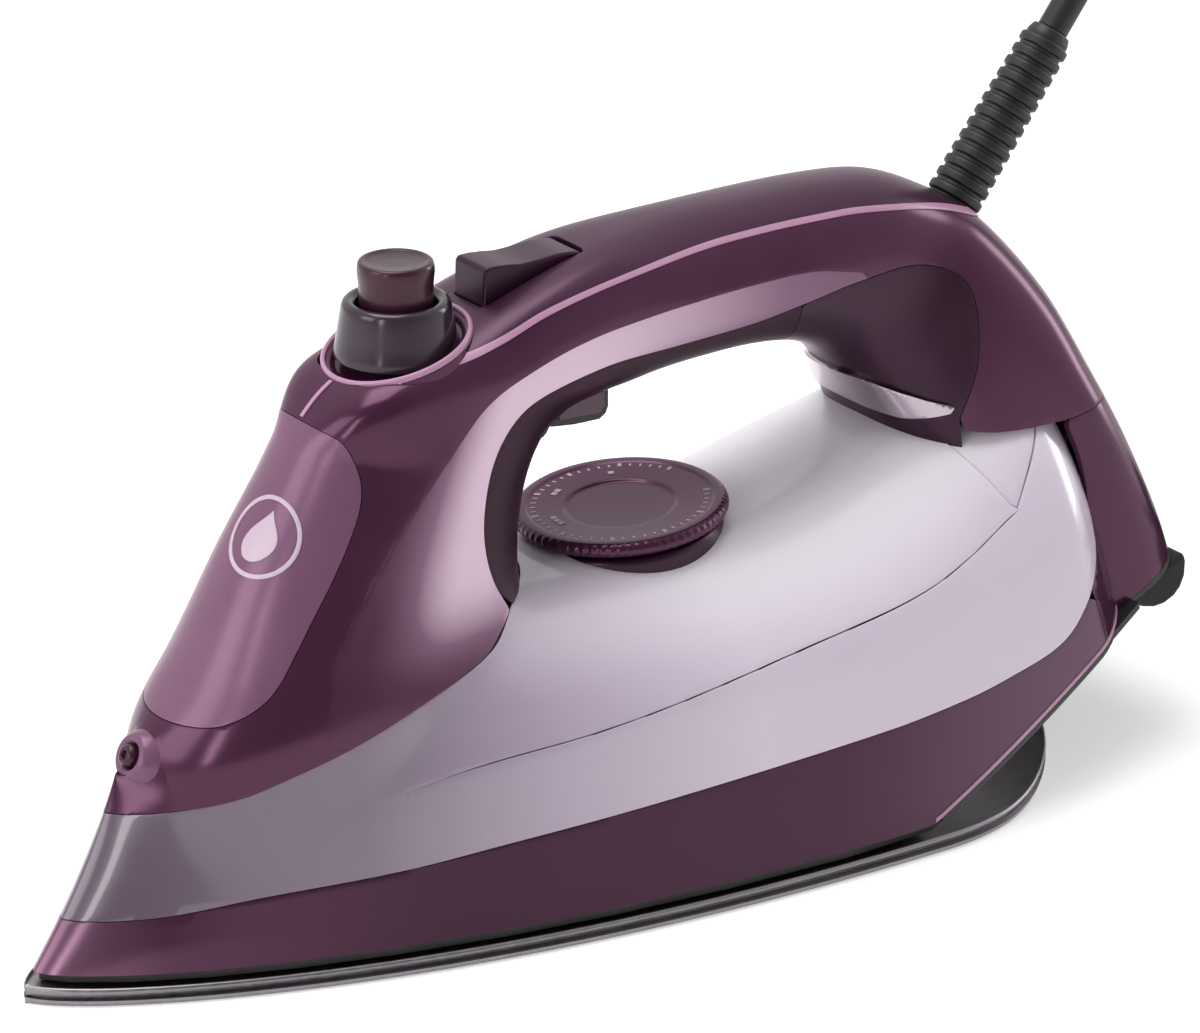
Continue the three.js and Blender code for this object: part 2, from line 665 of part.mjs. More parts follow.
// ---- Water tank -----------------------------------------------------------------------------
const tankWall = 1.8;
const tankFloor = shieldTop + gap;
const tankRear = 146;
const tankOutline = (inset) => [
  [24 + inset, tankFloor + inset], [tankRear - inset, tankFloor + inset], [tankRear - inset, 50 - inset],
  [112 - inset, 54 - inset], [90 - inset, 62 - inset], [90 - inset, 112 - inset], [60, 112 - inset],
  [50 + inset, 76], [50 + inset, 62 - inset], [47 + inset, 60], [47 + inset, 42 - inset], [24 + inset, 40 - inset],
];
const tankSpace = (inset) => cavity(wall + gap + inset).intersect(slab(tankOutline(inset)));
const inletRadius = 6;
const inletHeight = 102;
const inward = new THREE.Vector3(1, 0, 0);
const inlet = (radius) => rod(radius, spot(48, 0, inletHeight), 34, inward, 20);
const hosePath = [
  spot(41, 0, 46), spot(50, -4, 41), spot(72, -11, 37), spot(100, -13, 42), spot(113, -11, 60),
  spot(115, -11, 84), spot(122, -11.4, 104), spot(134, -11.8, 121), spot(150, -12, 131), spot(160, -9.5, 133.5),
  spot(163, -4, 132), spot(159, 0, 131.5), spot(151, 0, 131.5),
];
const hoseRadius = 1.6;
const hoseSteps = 30;
const hoseSides = 6;
part(
  "water_tank",
  smoke,
  tankSpace(0)
    .subtract(tankSpace(tankWall).subtract(rod(stemOuter / 2 + gap + 1.2, spot(knobStation, 0, 0), 80)))
    .subtract(inlet(inletRadius))
    .subtract(rod(stemOuter / 2 + gap, spot(knobStation, 0, 0), 80))
    .subtract(rod(valveBody + gap, spot(knobStation, 0, 0), 31))
    .subtract(cable(hosePath, hoseRadius + gap, hoseSteps, hoseSides)),
);

part("spray_nozzle_bezel", plum, pipe(nozzleBore + gap, nozzleBezel, alongNozzle(-nozzleDepth + 2), nozzleDepth + 0.6, nozzleAxis, 20));
part("spray_nozzle", black, pipe(0.8, nozzleBore, alongNozzle(-nozzleDepth), nozzleDepth + 1.4, nozzleAxis, 16));
part("spray_hose", smoke, cable(hosePath, hoseRadius, hoseSteps, hoseSides));

// ---- Steam knob, jet button and drip valve ------------------------------------------------
part(
  "knob_bezel",
  plum,
  pipe(bezelInner, bezelInner + bezelWidth, bezelCentre.clone().addScaledVector(bezelAxis, -14), 14 + bezelProud, bezelAxis, 28)
    .subtract(grown),
);
const knobSocket = jetButton / 2 + gap;
const socketFloor = knobTop - jetTravel - 2.4;
const hubBottom = knobFoot - 9;
part(
  "steam_regulator",
  smoke,
  turned([
    [stemBore / 2, hubBottom], [knobHub, hubBottom], [knobHub, knobFoot], [knobBase / 2, knobFoot],
    [knobBase / 2, knobFoot + 1.4], [knobRim / 2, knobTop - 0.8], [knobRim / 2 - 0.8, knobTop],
    [knobSocket, knobTop], [knobSocket, socketFloor], [stemBore / 2, socketFloor], [stemBore / 2, hubBottom],
  ], knobAxis, upright, 26),
);
const stemTop = hubBottom - gap;
const valveTop = tankFloor + 10;
part("valve_stem", white, pipe(stemBore / 2, stemOuter / 2, spot(knobStation, 0, valveTop + gap), stemTop - valveTop - gap, upright, 14));
part("drip_valve", brass, pipe(needle / 2 + gap, valveBody, spot(knobStation, 0, coverTop + gap), valveTop - coverTop - gap, upright, 16));
const jetFloor = socketFloor + jetTravel + 0.4;
part(
  "jet_button",
  plum,
  turned([
    [0, coverTop + 2 + jetTravel], [needle / 2, coverTop + 2 + jetTravel], [needle / 2, jetFloor],
    [jetButton / 2, jetFloor], [jetButton / 2, jetTop - 1], [jetButton / 2 - 1, jetTop], [0, jetTop],
  ], knobAxis, upright, 24),
);

// A coil spring as a bent wire between two heights.
function spring(radius, wire, station, y, low, high, turns) {
  const points = [];
  for (let k = 0; k <= turns * 8; k += 1) {
    const angle = (k / 8) * 2 * Math.PI;
    const z = mix(low + wire, high - wire, k / (turns * 8));
    points.push(spot(station, y, z).add(new THREE.Vector3(radius * Math.cos(angle), radius * Math.sin(angle), 0)));
  }
  return cable(points, wire, turns * 8, 4);
}
part("jet_spring", steel, spring(knobSocket - 3.4, 0.5, knobStation, 0, socketFloor + 0.1, jetFloor - 0.1, 2));

// ---- Steam-shot rocker, trigger and their pumps --------------------------------------------
const cheekInner = 8.2;
const cheekOuter = 9.6;
const shotPumpStation = 127;
const sprayPumpStation = 145.5;
const deckPlate = 124.6; // the bracket's cross plate
const plateThick = 1.8;
const pinRadius = 1.1;
const shotPivot = [shotTo - 2.4, 139.5];
const triggerPivot = [triggerFront + 3, 114];
const bracketOutline = [
  [119, 112], [126, 107], [132, 107], [shotPumpStation + 9, 109], [155, 117], [155, 128],
  [146, 142], [138, 142], [134, deckPlate + plateThick], [119, deckPlate + plateThick],
];
const pivotRod = (pivot, radius, half) =>
  rod(radius, spot(pivot[0], -half, pivot[1]), 2 * half, crosswise, 10).intersect(room);
const shotPiston = 4.8;
const sprayPiston = 3;
const pistonRod = 1.8;
part(
  "pump_bracket",
  black,
  slab(bracketOutline, cheekOuter, cheekInner)
    .add(slab(bracketOutline, -cheekInner, -cheekOuter))
    .add(block(spot(137, 0, deckPlate + plateThick / 2), [36, 2 * cheekInner + 0.2, plateThick]))
    .intersect(room)
    .subtract(pivotRod(shotPivot, pinRadius + 0.15, 12))
    .subtract(pivotRod(triggerPivot, pinRadius + 0.15, 12))
    .subtract(rod(pistonRod + gap, spot(shotPumpStation, 0, 100), 50, upright, 12))
    .subtract(rod(pistonRod + gap, spot(sprayPumpStation, 0, 100), 50, upright, 12)),
);
part("rocker_pin", steel, pivotRod(shotPivot, pinRadius, cheekOuter));
part("trigger_pin", steel, pivotRod(triggerPivot, pinRadius, cheekOuter));

const shotOutline = [
  [shotFront, 136.4], [shotFront + 0.4, 147.6], [shotFront + 1.6, 148.6], [shotFront + 14, 148.6],
  [shotTo, 147.2], [shotTo, 138], [shotTo - 5, 136.4],
];
part("steam_shot_button", darkPlum, slab(shotOutline, shotWidth / 2).subtract(pivotRod(shotPivot, pinRadius + 0.2, 12)));
const triggerOutline = [
  [triggerFront - 0.4, 108.8], [triggerFront + 0.6, 107.8], [triggerTo - 2.5, 106.8], [triggerTo, 109.5],
  [triggerTo, 115.5], [triggerFront + 7, 117], [triggerFront - 0.4, 116],
];
part("spray_trigger", black, slab(triggerOutline, triggerWidth / 2).subtract(pivotRod(triggerPivot, pinRadius + 0.2, 12)));

const pumpWall = 1.4;
const pumpTop = deckPlate - gap;
const shotPumpLength = 16;
part("steam_pump_barrel", white, pipe(shotPiston + 0.3, shotPiston + 0.3 + pumpWall, spot(shotPumpStation, 0, pumpTop - shotPumpLength), shotPumpLength, upright, 18));
const plungerTop = 136.4 - gap;
part(
  "steam_pump_piston",
  brass,
  turned([
    [0, pumpTop - 7], [shotPiston, pumpTop - 7], [shotPiston, pumpTop - 4], [pistonRod, pumpTop - 4],
    [pistonRod, plungerTop - 1.6], [shotPiston, plungerTop - 1.6], [shotPiston, plungerTop], [0, plungerTop],
  ], spot(shotPumpStation, 0, 0), upright, 16),
);
part("steam_pump_spring", steel, spring(3.4, 0.5, shotPumpStation, 0, deckPlate + plateThick + 0.2, plungerTop - 1.8, 3));
const plateTop = deckPlate + plateThick;
const sprayFoot = 117 + gap;
part("spray_pump_barrel", white, pipe(sprayPiston + 0.3, sprayPiston + 0.3 + pumpWall, spot(sprayPumpStation, 0, plateTop + gap), 9, upright, 16));
part(
  "spray_pump_piston",
  brass,
  turned([
    [0, sprayFoot], [sprayPiston, sprayFoot], [sprayPiston, sprayFoot + 1.6], [pistonRod, sprayFoot + 1.6],
    [pistonRod, plateTop + 3], [sprayPiston, plateTop + 3], [sprayPiston, plateTop + 5], [0, plateTop + 5],
  ], spot(sprayPumpStation, 0, 0), upright, 14),
);
part("trigger_spring", steel, spring(2.9, 0.4, sprayPumpStation, 0, sprayFoot + 1.8, deckPlate - 0.2, 3));

// ---- Temperature control -------------------------------------------------------------------
part(
  "temperature_dial",
  plum,
  turned([
    [0, gap], [dialDiameter / 2 - 1.5, gap], [dialDiameter / 2, 1.6], [dialDiameter / 2, dialThick - 0.8],
    [dialDiameter / 2 - 1.2, dialThick], [dialDiameter / 2 - 7, dialThick - 0.6], [0, dialThick - 0.6],
  ], dialFoot, dialAxis, 32),
);
part("dial_spindle", white, rod(spindle / 2, alongDial(-spindleReach), spindleReach, dialAxis, 14));
part("thermostat", steel, rod(thermostatRadius, spot(spindleFoot, 0, coverTop + gap), thermostatTop - coverTop - gap, upright, 20));

// ---- Electrics in the rear column ----------------------------------------------------------
part("thermal_fuse", white, rod(3.4, spot(186, -14, shieldTop + gap + 3.4), 28, crosswise, 12));
const boardThick = 1.6;
const boardFront = terminal.x - terminalSize[0] / 2 - gap - boardThick;
const lampFront = 236;
part("terminal_block", white, block(terminal, terminalSize));
part("control_board", green, block(new THREE.Vector3(boardFront + boardThick / 2, 0, 86), [boardThick, 28, 40]));
part("status_lamp", white, rod(2.4, spot(lampFront, 0, deckHeight + 18.5), boardFront - gap - at(lampFront), inward, 12));
part("mains_lead", black, cable([alongSleeve(-4.4 - gap), alongSleeve(-8), spot(248, 0, 118), spot(256.5, 0, 104), spot(263, 0, 92), spot(264, 0, 84), spot(264, 0, terminal.z + terminalSize[2] / 2 + gap)], 2.8, 14));

// ---- Cord ------------------------------------------------------------------------------------
const ribs = 8;
const ribPitch = (sleeveLength - 3) / ribs;
const sleeveProfile = [[2.9, -4.4], [8, -4.4], [8, -2.6], [sleeveNeck, -2.6], [sleeveNeck, sleeveStart]];
for (let k = 0; k < ribs; k += 1) {
  const radius = mix(sleeveBase, sleeveEnd, k / ribs) / 2;
  const start = sleeveStart + k * ribPitch;
  sleeveProfile.push([radius, start], [radius, start + 0.62 * ribPitch]);
  sleeveProfile.push([radius - 1.1, start + 0.62 * ribPitch], [radius - 1.1, start + ribPitch]);
}
const sleeveTip = sleeveStart + sleeveLength - 3;
sleeveProfile.push([sleeveEnd / 2 - 0.9, sleeveTip], [sleeveEnd / 2 - 1.4, sleeveTip + 2], [0, sleeveTip + 2]);
sleeveProfile[0] = [0, -4.4];
part("cord_sleeve", black, turned(sleeveProfile, sleeveRoot, sleeveAxis, 10));

// The cord climbs out of its sleeve, arches over and comes down behind the heel, where the rest
// of its length is wound into a coil with the plug lying on top.
const cordRadius = cordDiameter / 2;
const tieThick = 1.4;
const tieWidth = 9;
const coilCentre = new THREE.Vector3(250, -15, 0);
const coilBottom = tieThick + 2 * gap;
const coilHalf = (coilStack * cordDiameter) / 2;
const coilTop = coilBottom + 2 * coilHalf;
const cordStart = alongSleeve(sleeveTip + 2 + gap);
const onCoil = coilTop + gap + cordRadius;
const point = (x, y, z) => new THREE.Vector3(x, y, z);
part(
  "cord",
  black,
  cable([
    cordStart, alongSleeve(sleeveTip + 18), point(155, 0, 202), point(174, 0, 214), point(193, 1, 214),
    point(208, 3, 200), point(216, 6, 174), point(219, 9, 140), point(220, 12, 104), point(220.5, 15, 70),
    point(223.5, 18.5, 45), point(232, 22, 31), point(246, 25, onCoil),
  ], cordRadius, 28),
);
const corner = 3;
part(
  "cord_coil",
  black,
  turned([
    [coilTurnRadius - coilHalf, corner], [coilTurnRadius - coilHalf + corner, 0],
    [coilTurnRadius + coilHalf - corner, 0], [coilTurnRadius + coilHalf, corner],
    [coilTurnRadius + coilHalf, 2 * coilHalf - corner], [coilTurnRadius + coilHalf - corner, 2 * coilHalf],
    [coilTurnRadius - coilHalf + corner, 2 * coilHalf], [coilTurnRadius - coilHalf, 2 * coilHalf - corner],
    [coilTurnRadius - coilHalf, corner],
  ], coilCentre.clone().setZ(coilBottom), upright, 28),
);

const tieAngle = radians(205);
function tieFrame(grow, depth) {
  const geometry = new THREE.BoxGeometry(2 * (coilHalf + grow), depth, 2 * (coilHalf + grow));
  geometry.translate(coilTurnRadius, 0, 0).rotateZ(tieAngle);
  return solid(geometry.translate(coilCentre.x, coilCentre.y, coilBottom + coilHalf));
}
const tieGap = 2 * gap;
part("cord_tie", black, tieFrame(tieGap + tieThick, tieWidth).subtract(tieFrame(tieGap, tieWidth + 2)));

const plugRadius = 16.5;
const plugStation = 12; // from the strain relief's tip to the body
const plugLength = 36;
const plugTip = point(242, -44, coilTop + gap + plugRadius);
const pinReach = 19;
const pinSpacing = 19;
const pinSize = 2.4;
const strain = 5.4; // radius of the relief where it meets the body
part(
  "cord_tail",
  black,
  cable([
    point(296, -22, onCoil), point(293.5, -36, onCoil + 1), point(284, -50, onCoil + 5), point(268, -60, onCoil + 9),
    point(253, -62, plugTip.z - 2), point(244, -57, plugTip.z), point(242, -50, plugTip.z), plugTip.clone().setY(plugTip.y - gap),
  ], cordRadius, 16),
);
const plugHole = (side, radius, from) =>
  rod(radius, plugTip.clone().add(point(side * pinSpacing / 2, from, 0)), 40, crosswise, 12);
part(
  "plug_body",
  black,
  turned([
    [0, 0], [cordRadius + 0.8, 0], [strain, plugStation], [plugRadius - 3, plugStation + 3],
    [plugRadius, plugStation + 12], [plugRadius, plugStation + plugLength - 2],
    [plugRadius - 2, plugStation + plugLength], [0, plugStation + plugLength],
  ], plugTip, crosswise, 24)
    .subtract(plugHole(-1, pinSize + gap, plugStation + plugLength - 10))
    .subtract(plugHole(1, pinSize + gap, plugStation + plugLength - 10)),
);
for (const [name, side] of [["plug_pin_left", -1], ["plug_pin_right", 1]]) {
  const foot = plugTip.clone().add(point((side * pinSpacing) / 2, plugStation + plugLength - 10 + gap, 0));
  part(name, steel, rod(pinSize, foot, pinReach + 10, crosswise, 12));
}

// ---- Fasteners -------------------------------------------------------------------------------
screwPlaces.forEach(([station, y], k) => {
  part(
    `casting_screw_${k + 1}`,
    steel,
    turned([
      [0, castingTop - 6], [screwRadius, castingTop - 6], [screwRadius, coverTop + gap],
      [screwHead, coverTop + gap], [screwHead, coverTop + gap + 1.6], [0, coverTop + gap + 1.6],
    ], spot(station, y, 0), upright, 10),
  );
});

export default group;
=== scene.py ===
"""A full-size steam iron: its surfaces and finishes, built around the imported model."""

import json
import math

import bmesh
import bpy
import numpy as np
from mathutils import Matrix, Vector
from mathutils.bvhtree import BVHTree


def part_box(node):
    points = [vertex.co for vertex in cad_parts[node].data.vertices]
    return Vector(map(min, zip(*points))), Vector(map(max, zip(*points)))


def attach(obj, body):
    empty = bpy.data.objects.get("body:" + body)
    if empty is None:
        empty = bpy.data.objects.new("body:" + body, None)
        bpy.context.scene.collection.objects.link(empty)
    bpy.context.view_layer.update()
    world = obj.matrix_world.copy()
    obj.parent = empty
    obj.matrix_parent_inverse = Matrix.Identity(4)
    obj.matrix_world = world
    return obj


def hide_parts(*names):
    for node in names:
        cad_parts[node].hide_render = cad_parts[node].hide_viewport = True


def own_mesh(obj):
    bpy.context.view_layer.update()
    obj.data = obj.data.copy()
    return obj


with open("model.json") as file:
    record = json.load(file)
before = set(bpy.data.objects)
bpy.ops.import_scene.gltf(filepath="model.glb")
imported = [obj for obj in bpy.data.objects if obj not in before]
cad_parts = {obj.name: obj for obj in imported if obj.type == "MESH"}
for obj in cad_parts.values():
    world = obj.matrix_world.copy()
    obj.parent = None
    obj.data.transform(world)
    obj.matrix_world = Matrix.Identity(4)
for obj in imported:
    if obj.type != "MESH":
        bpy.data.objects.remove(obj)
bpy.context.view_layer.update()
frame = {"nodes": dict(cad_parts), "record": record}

MM = 0.001
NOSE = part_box("soleplate")[0][0]  # the nose tip; a "station" is a distance in mm behind it
SEAM = 0.18  # mm, the gap that shows between two shells
SHELL = 2.0  # mm, wall of the moulded shells
SIDES = ((-1, "left"), (1, "right"))
upright = Vector((0, 0, 1))


def place(station, y, z):
    """A point in metres from a station, a side distance and a height in mm."""
    return Vector((NOSE + station * MM, y * MM, z * MM))


def x_of(station):
    return place(station, 0, 0).x


def lean(degrees):
    """An upright axis tipped towards the nose by some degrees."""
    return Vector((-math.sin(math.radians(degrees)), 0, math.cos(math.radians(degrees))))


def in_scene(name, data):
    """A new object of this data, in the scene."""
    made = bpy.data.objects.new(name, data)
    bpy.context.collection.objects.link(made)
    return made


# ---- Camera ----
VIEW_AZIMUTH, VIEW_ELEVATION = math.radians(-35), math.radians(22)
VIEW_DISTANCE = 1.4  # m
LENS = 180.6  # mm
TARGET = Vector((0.0138, 0.0195, 0.07))
back = Vector((
    math.sin(VIEW_AZIMUTH) * math.cos(VIEW_ELEVATION),
    -math.cos(VIEW_AZIMUTH) * math.cos(VIEW_ELEVATION),
    math.sin(VIEW_ELEVATION),
))
camera = in_scene("camera", bpy.data.cameras.new("camera"))
camera.data.lens = LENS
camera.location = TARGET + back * VIEW_DISTANCE
camera.rotation_euler = back.to_track_quat("Z", "Y").to_euler()
bpy.context.scene.camera = camera


# ---- Materials ----
def linear(colour):
    """An sRGB hex colour as linear RGBA."""
    channels = [int(colour[k:k + 2], 16) / 255 for k in (1, 3, 5)]
    return tuple(c / 12.92 if c <= 0.04045 else ((c + 0.055) / 1.055) ** 2.4 for c in channels) + (1,)


def add(material, kind, inputs=None, stops=(), **settings):
    """Adds a node with its settings; an input that is a socket is linked and any other is set. Stops are
    the [position, colour] pairs of a colour ramp, with its two ends first."""
    node = material.node_tree.nodes.new(kind)
    for key, value in settings.items():
        setattr(node, key, value)
    for k, (position, colour) in enumerate(stops):
        element = node.color_ramp.elements[k] if k < 2 else node.color_ramp.elements.new(position)
        element.position = position
        element.color = linear(colour)
    for key, value in (inputs or {}).items():
        if isinstance(value, bpy.types.NodeSocket):
            material.node_tree.links.new(value, node.inputs[key])
        else:
            node.inputs[key].default_value = value
    return node


def finish(name, **surface):
    """A material with one principled surface."""
    material = bpy.data.materials.new(name)
    material.use_nodes = True
    shader = material.node_tree.nodes["Principled BSDF"]
    for key, value in surface.items():
        shader.inputs[key.replace("_", " ")].default_value = value
    return material, shader


def connect(material, socket, shader, name):
    material.node_tree.links.new(socket, shader.inputs[name])


def spots(material, size, detail=2.0):
    """Noise in object space whose grains are about size mm across."""
    where = add(material, "ShaderNodeTexCoord")
    return add(material, "ShaderNodeTexNoise",
               {"Vector": where.outputs["Object"], "Scale": 1 / (size * MM), "Detail": detail})


def bumpy(material, shader, height, depth):
    """Makes a surface look raised by depth mm where height is 1."""
    bump = add(material, "ShaderNodeBump", {"Height": height, "Distance": depth * MM})
    connect(material, bump.outputs["Normal"], shader, "Normal")


WAVINESS = 9, 0.02  # mm, across and deep: what a polished tool leaves in a moulding's reflections


def polished(material, shader, colour):
    """Gives a gloss moulding its colour and its waviness."""
    size, depth = WAVINESS
    connect(material, colour.outputs["Color"], shader, "Base Color")
    bumpy(material, shader, spots(material, size, 1.0).outputs["Fac"], depth)
    return material


def moulded_gloss(name, colour, shade, roughness=0.22, flake=0.0, glow="#ffffff"):
    """Gloss ABS: a deep even colour, a faint swirl of pigment and the slight waviness that a polished
    tool leaves in its reflections; flake is the share of metal pigment, glow the tint of its gloss."""
    material, shader = finish(name, Roughness=roughness, IOR=1.5, Metallic=flake, Specular_Tint=linear(glow))
    pigment = add(material, "ShaderNodeValToRGB", {"Fac": spots(material, 30).outputs["Fac"]},
                  stops=[(0.35, shade), (0.65, colour)])
    return polished(material, shader, pigment)


def moulded_matt(name, colour, shade, roughness, grain=0.7, depth=0.05, glow="#ffffff"):
    """Spark-eroded or rubbery mouldings: a fine grain that breaks the highlights up."""
    material, shader = finish(name, Roughness=roughness, IOR=1.5, Specular_Tint=linear(glow))
    pigment = add(material, "ShaderNodeValToRGB", {"Fac": spots(material, 22).outputs["Fac"]},
                  stops=[(0.3, shade), (0.7, colour)])
    connect(material, pigment.outputs["Color"], shader, "Base Color")
    bumpy(material, shader, spots(material, grain, 3.0).outputs["Fac"], depth)
    return material


def metal(name, colour, shade, roughness, stretch=(1, 1, 1), grain=1.2, depth=0.01):
    """A bare metal; the noise is stretched along the brushing or left even for a cast skin."""
    material, shader = finish(name, Metallic=1.0)
    where = add(material, "ShaderNodeTexCoord")
    along = add(material, "ShaderNodeMapping", {"Vector": where.outputs["Object"], "Scale": stretch})
    grains = add(material, "ShaderNodeTexNoise",
                 {"Vector": along.outputs["Vector"], "Scale": 1 / (grain * MM), "Detail": 3.0})
    tone = add(material, "ShaderNodeValToRGB", {"Fac": grains.outputs["Fac"]},
               stops=[(0.3, shade), (0.7, colour)])
    connect(material, tone.outputs["Color"], shader, "Base Color")
    rough = add(material, "ShaderNodeMapRange",
                {"Value": grains.outputs["Fac"], "To Min": roughness * 0.75, "To Max": roughness * 1.3})
    connect(material, rough.outputs["Result"], shader, "Roughness")
    bumpy(material, shader, grains.outputs["Fac"], depth)
    return material


# Share of the panel's paleness that is a painted top light, paler where the panel faces up.
TOP_LIGHT_SHARE = 0.25  # how much of the panel's paleness comes from facing up; the rest comes with the station


def pearl_panel(name):
    """Pearl ABS of the body panel under a clear gloss: a milky lavender that grows greyer towards the nose,
    with a painted top light that makes it palest where it faces up, on the deck."""
    material, shader = finish(name, Roughness=0.24, IOR=1.5, Coat_Weight=0.5, Coat_Roughness=0.06)
    where = add(material, "ShaderNodeTexCoord")
    axes = add(material, "ShaderNodeSeparateXYZ", {"Vector": where.outputs["Object"]})
    facing = add(material, "ShaderNodeSeparateXYZ", {"Vector": where.outputs["Normal"]})
    fade = add(material, "ShaderNodeMapRange", {
        "Value": axes.outputs["X"], "From Min": x_of(20), "From Max": x_of(165), "To Max": 1 - TOP_LIGHT_SHARE})
    # painted top light: paler where the panel faces up
    painted_top_light = add(material, "ShaderNodeMapRange", {
        "Value": facing.outputs["Z"], "From Min": 0.45, "From Max": 0.95, "To Max": TOP_LIGHT_SHARE},
        interpolation_type="SMOOTHSTEP")
    share = add(material, "ShaderNodeMath", {0: fade.outputs["Result"], 1: painted_top_light.outputs["Result"]})
    colour = add(material, "ShaderNodeValToRGB", {"Fac": share.outputs[0]}, stops=[
        (0.0, "#5d4d5e"), (1.0, "#f8f1fa"), (0.26, "#7b6b7d"), (0.51, "#baaabe"), (0.75, "#ddd0e1")])
    return polished(material, shader, colour)


PINK_GLOW = "#ecd3e2"


def plum_painted_reflection_band(name):
    """Plum ABS of the skirt with painted reflections: deepest along the middle of the iron, paler at the nose
    and the heel.
    """
    material, shader = finish(name, Roughness=0.2, IOR=1.5, Metallic=0.35, Specular_Tint=linear(PINK_GLOW))
    where = add(material, "ShaderNodeTexCoord")
    axes = add(material, "ShaderNodeSeparateXYZ", {"Vector": where.outputs["Object"]})
    # painted reflections: the colour changes along the iron as the studio's reflections would
    along = add(material, "ShaderNodeMapRange", {
        "Value": axes.outputs["X"], "From Min": x_of(0), "From Max": x_of(270)})
    colour = add(material, "ShaderNodeValToRGB", {"Fac": along.outputs["Result"]}, stops=[
        (0.0, "#7a566d"), (1.0, "#5f4357"), (0.1, "#4c2841"), (0.32, "#35152b"), (0.68, "#3f1d34")])
    return polished(material, shader, colour)


def painted_flare_highlight(name):
    """A painted highlight on the band beside the grip: it comes out of plum at the foot of the front column
    and behind its crease, is palest at the bend and dims again along the handle."""
    material, shader = finish(name, Roughness=0.24, IOR=1.5, Metallic=0.2, Specular_Tint=linear(PINK_GLOW))
    where = add(material, "ShaderNodeTexCoord")
    axes = add(material, "ShaderNodeSeparateXYZ", {"Vector": where.outputs["Object"]})
    up = add(material, "ShaderNodeMapRange", {
        "Value": axes.outputs["Z"], "From Min": 60 * MM, "From Max": 84 * MM},
        interpolation_type="SMOOTHSTEP")
    slant = add(material, "ShaderNodeMath", {0: axes.outputs["Z"], 1: -0.4, 2: axes.outputs["X"]},
                operation="MULTIPLY_ADD")
    across = add(material, "ShaderNodeMapRange", {
        "Value": slant.outputs[0], "From Min": x_of(44), "From Max": x_of(68)},
        interpolation_type="SMOOTHSTEP")
    along = add(material, "ShaderNodeMapRange", {
        "Value": axes.outputs["X"], "From Min": x_of(130), "From Max": x_of(214),
        "To Min": 1.0, "To Max": 0.35}, interpolation_type="SMOOTHSTEP")
    column = add(material, "ShaderNodeMath", {0: up.outputs["Result"], 1: across.outputs["Result"]},
                 operation="MULTIPLY")
    share = add(material, "ShaderNodeMath", {0: column.outputs[0], 1: along.outputs["Result"]},
                operation="MULTIPLY")
    # painted highlight: from plum to pale pink where the band would catch the light
    colour = add(material, "ShaderNodeValToRGB", {"Fac": share.outputs[0]},
                 stops=[(0.0, "#4f2943"), (1.0, "#e2c7da"), (0.45, "#84607a")])
    return polished(material, shader, colour)


plum_abs = moulded_gloss("plum_metallic_abs", "#4f2943", "#48243d", 0.2, flake=0.35, glow=PINK_GLOW)
# Plum of the skirt, with painted reflections along its length.
skirt_plum_painted_reflections = plum_painted_reflection_band("plum_abs_painted_reflections")
plum_door = moulded_gloss("clear_plum_door", "#7b5570", "#724d67", 0.28, flake=0.12, glow=PINK_GLOW)
dark_plum_abs = moulded_gloss("dark_plum_abs", "#47293f", "#3f2338", 0.3, flake=0.3, glow=PINK_GLOW)
# Deep plum; under the dial and in the pocket of the rear column it also stands for painted shade.
deep_plum_and_shade = moulded_gloss("deep_plum_abs_and_painted_shade", "#30132a", "#290f22", 0.3, flake=0.3, glow=PINK_GLOW)
# The painted highlight beside the grip.
flare_highlight_paint = painted_flare_highlight("flare_painted_highlight")
pearl_lavender = pearl_panel("pearl_lavender_abs")
# Pale plum of the beads; on the knob ring and along the heel's lower edge it is also a painted highlight.
pale_plum_and_highlight = moulded_gloss("pale_plum_inlay_and_painted_highlight", "#c293b3", "#b787a8", roughness=0.3)
soft_grip = moulded_matt("soft_touch_grip", "#2a1020", "#230d1b", 0.42, 0.6, 0.02, glow="#b884a0")
smoke_abs = moulded_gloss("smoke_grey_abs", "#3a2c38", "#31242f", roughness=0.18, flake=0.2)
button_plum = moulded_gloss("button_plum_abs", "#3a1a26", "#30151f", roughness=0.26, glow=PINK_GLOW)
trigger_grey = moulded_matt("trigger_grey_abs", "#5d4452", "#523b48", 0.45, 0.8, 0.02)
black_abs = moulded_matt("black_abs_grained", "#2a252a", "#201c20", 0.5, 0.9, 0.05)
black_pvc = moulded_matt("black_pvc_cord", "#1c1b1c", "#141314", 0.48, 1.1, 0.03)
foot_rubber = moulded_matt("black_foot_rubber", "#0c0a0c", "#080708", 0.7, 0.8, 0.05)
tongue_silver = metal("satin_plated_trim", "#b9aeb7", "#aba0a9", 0.2, grain=6)
sole_metal = metal("brushed_aluminium_sole", "#949094", "#848084", 0.36, (0.05, 1, 1), 1.0, 0.004)
cast_metal = metal("die_cast_aluminium", "#9a9a9c", "#858588", 0.5, grain=2, depth=0.06)
spring_steel = metal("drawn_steel", "#b5b6ba", "#a2a3a8", 0.3, grain=1.5)
plain_brass = metal("turned_brass", "#b8974f", "#a78742", 0.3, (1, 1, 0.1), 1.0)
white_nylon = moulded_matt("natural_nylon", "#d8d4cc", "#cdc8bf", 0.5, 1.0, 0.03)
board_green = moulded_matt("green_lacquered_board", "#2d6a47", "#255a3b", 0.35, 2.0, 0.02)
silicone_hose = moulded_matt("milky_silicone", "#c9c5c0", "#bdb9b3", 0.4, 1.5, 0.02)
emblem_print = moulded_gloss("pale_print", "#cdb8c8", "#c2acbd", roughness=0.4)

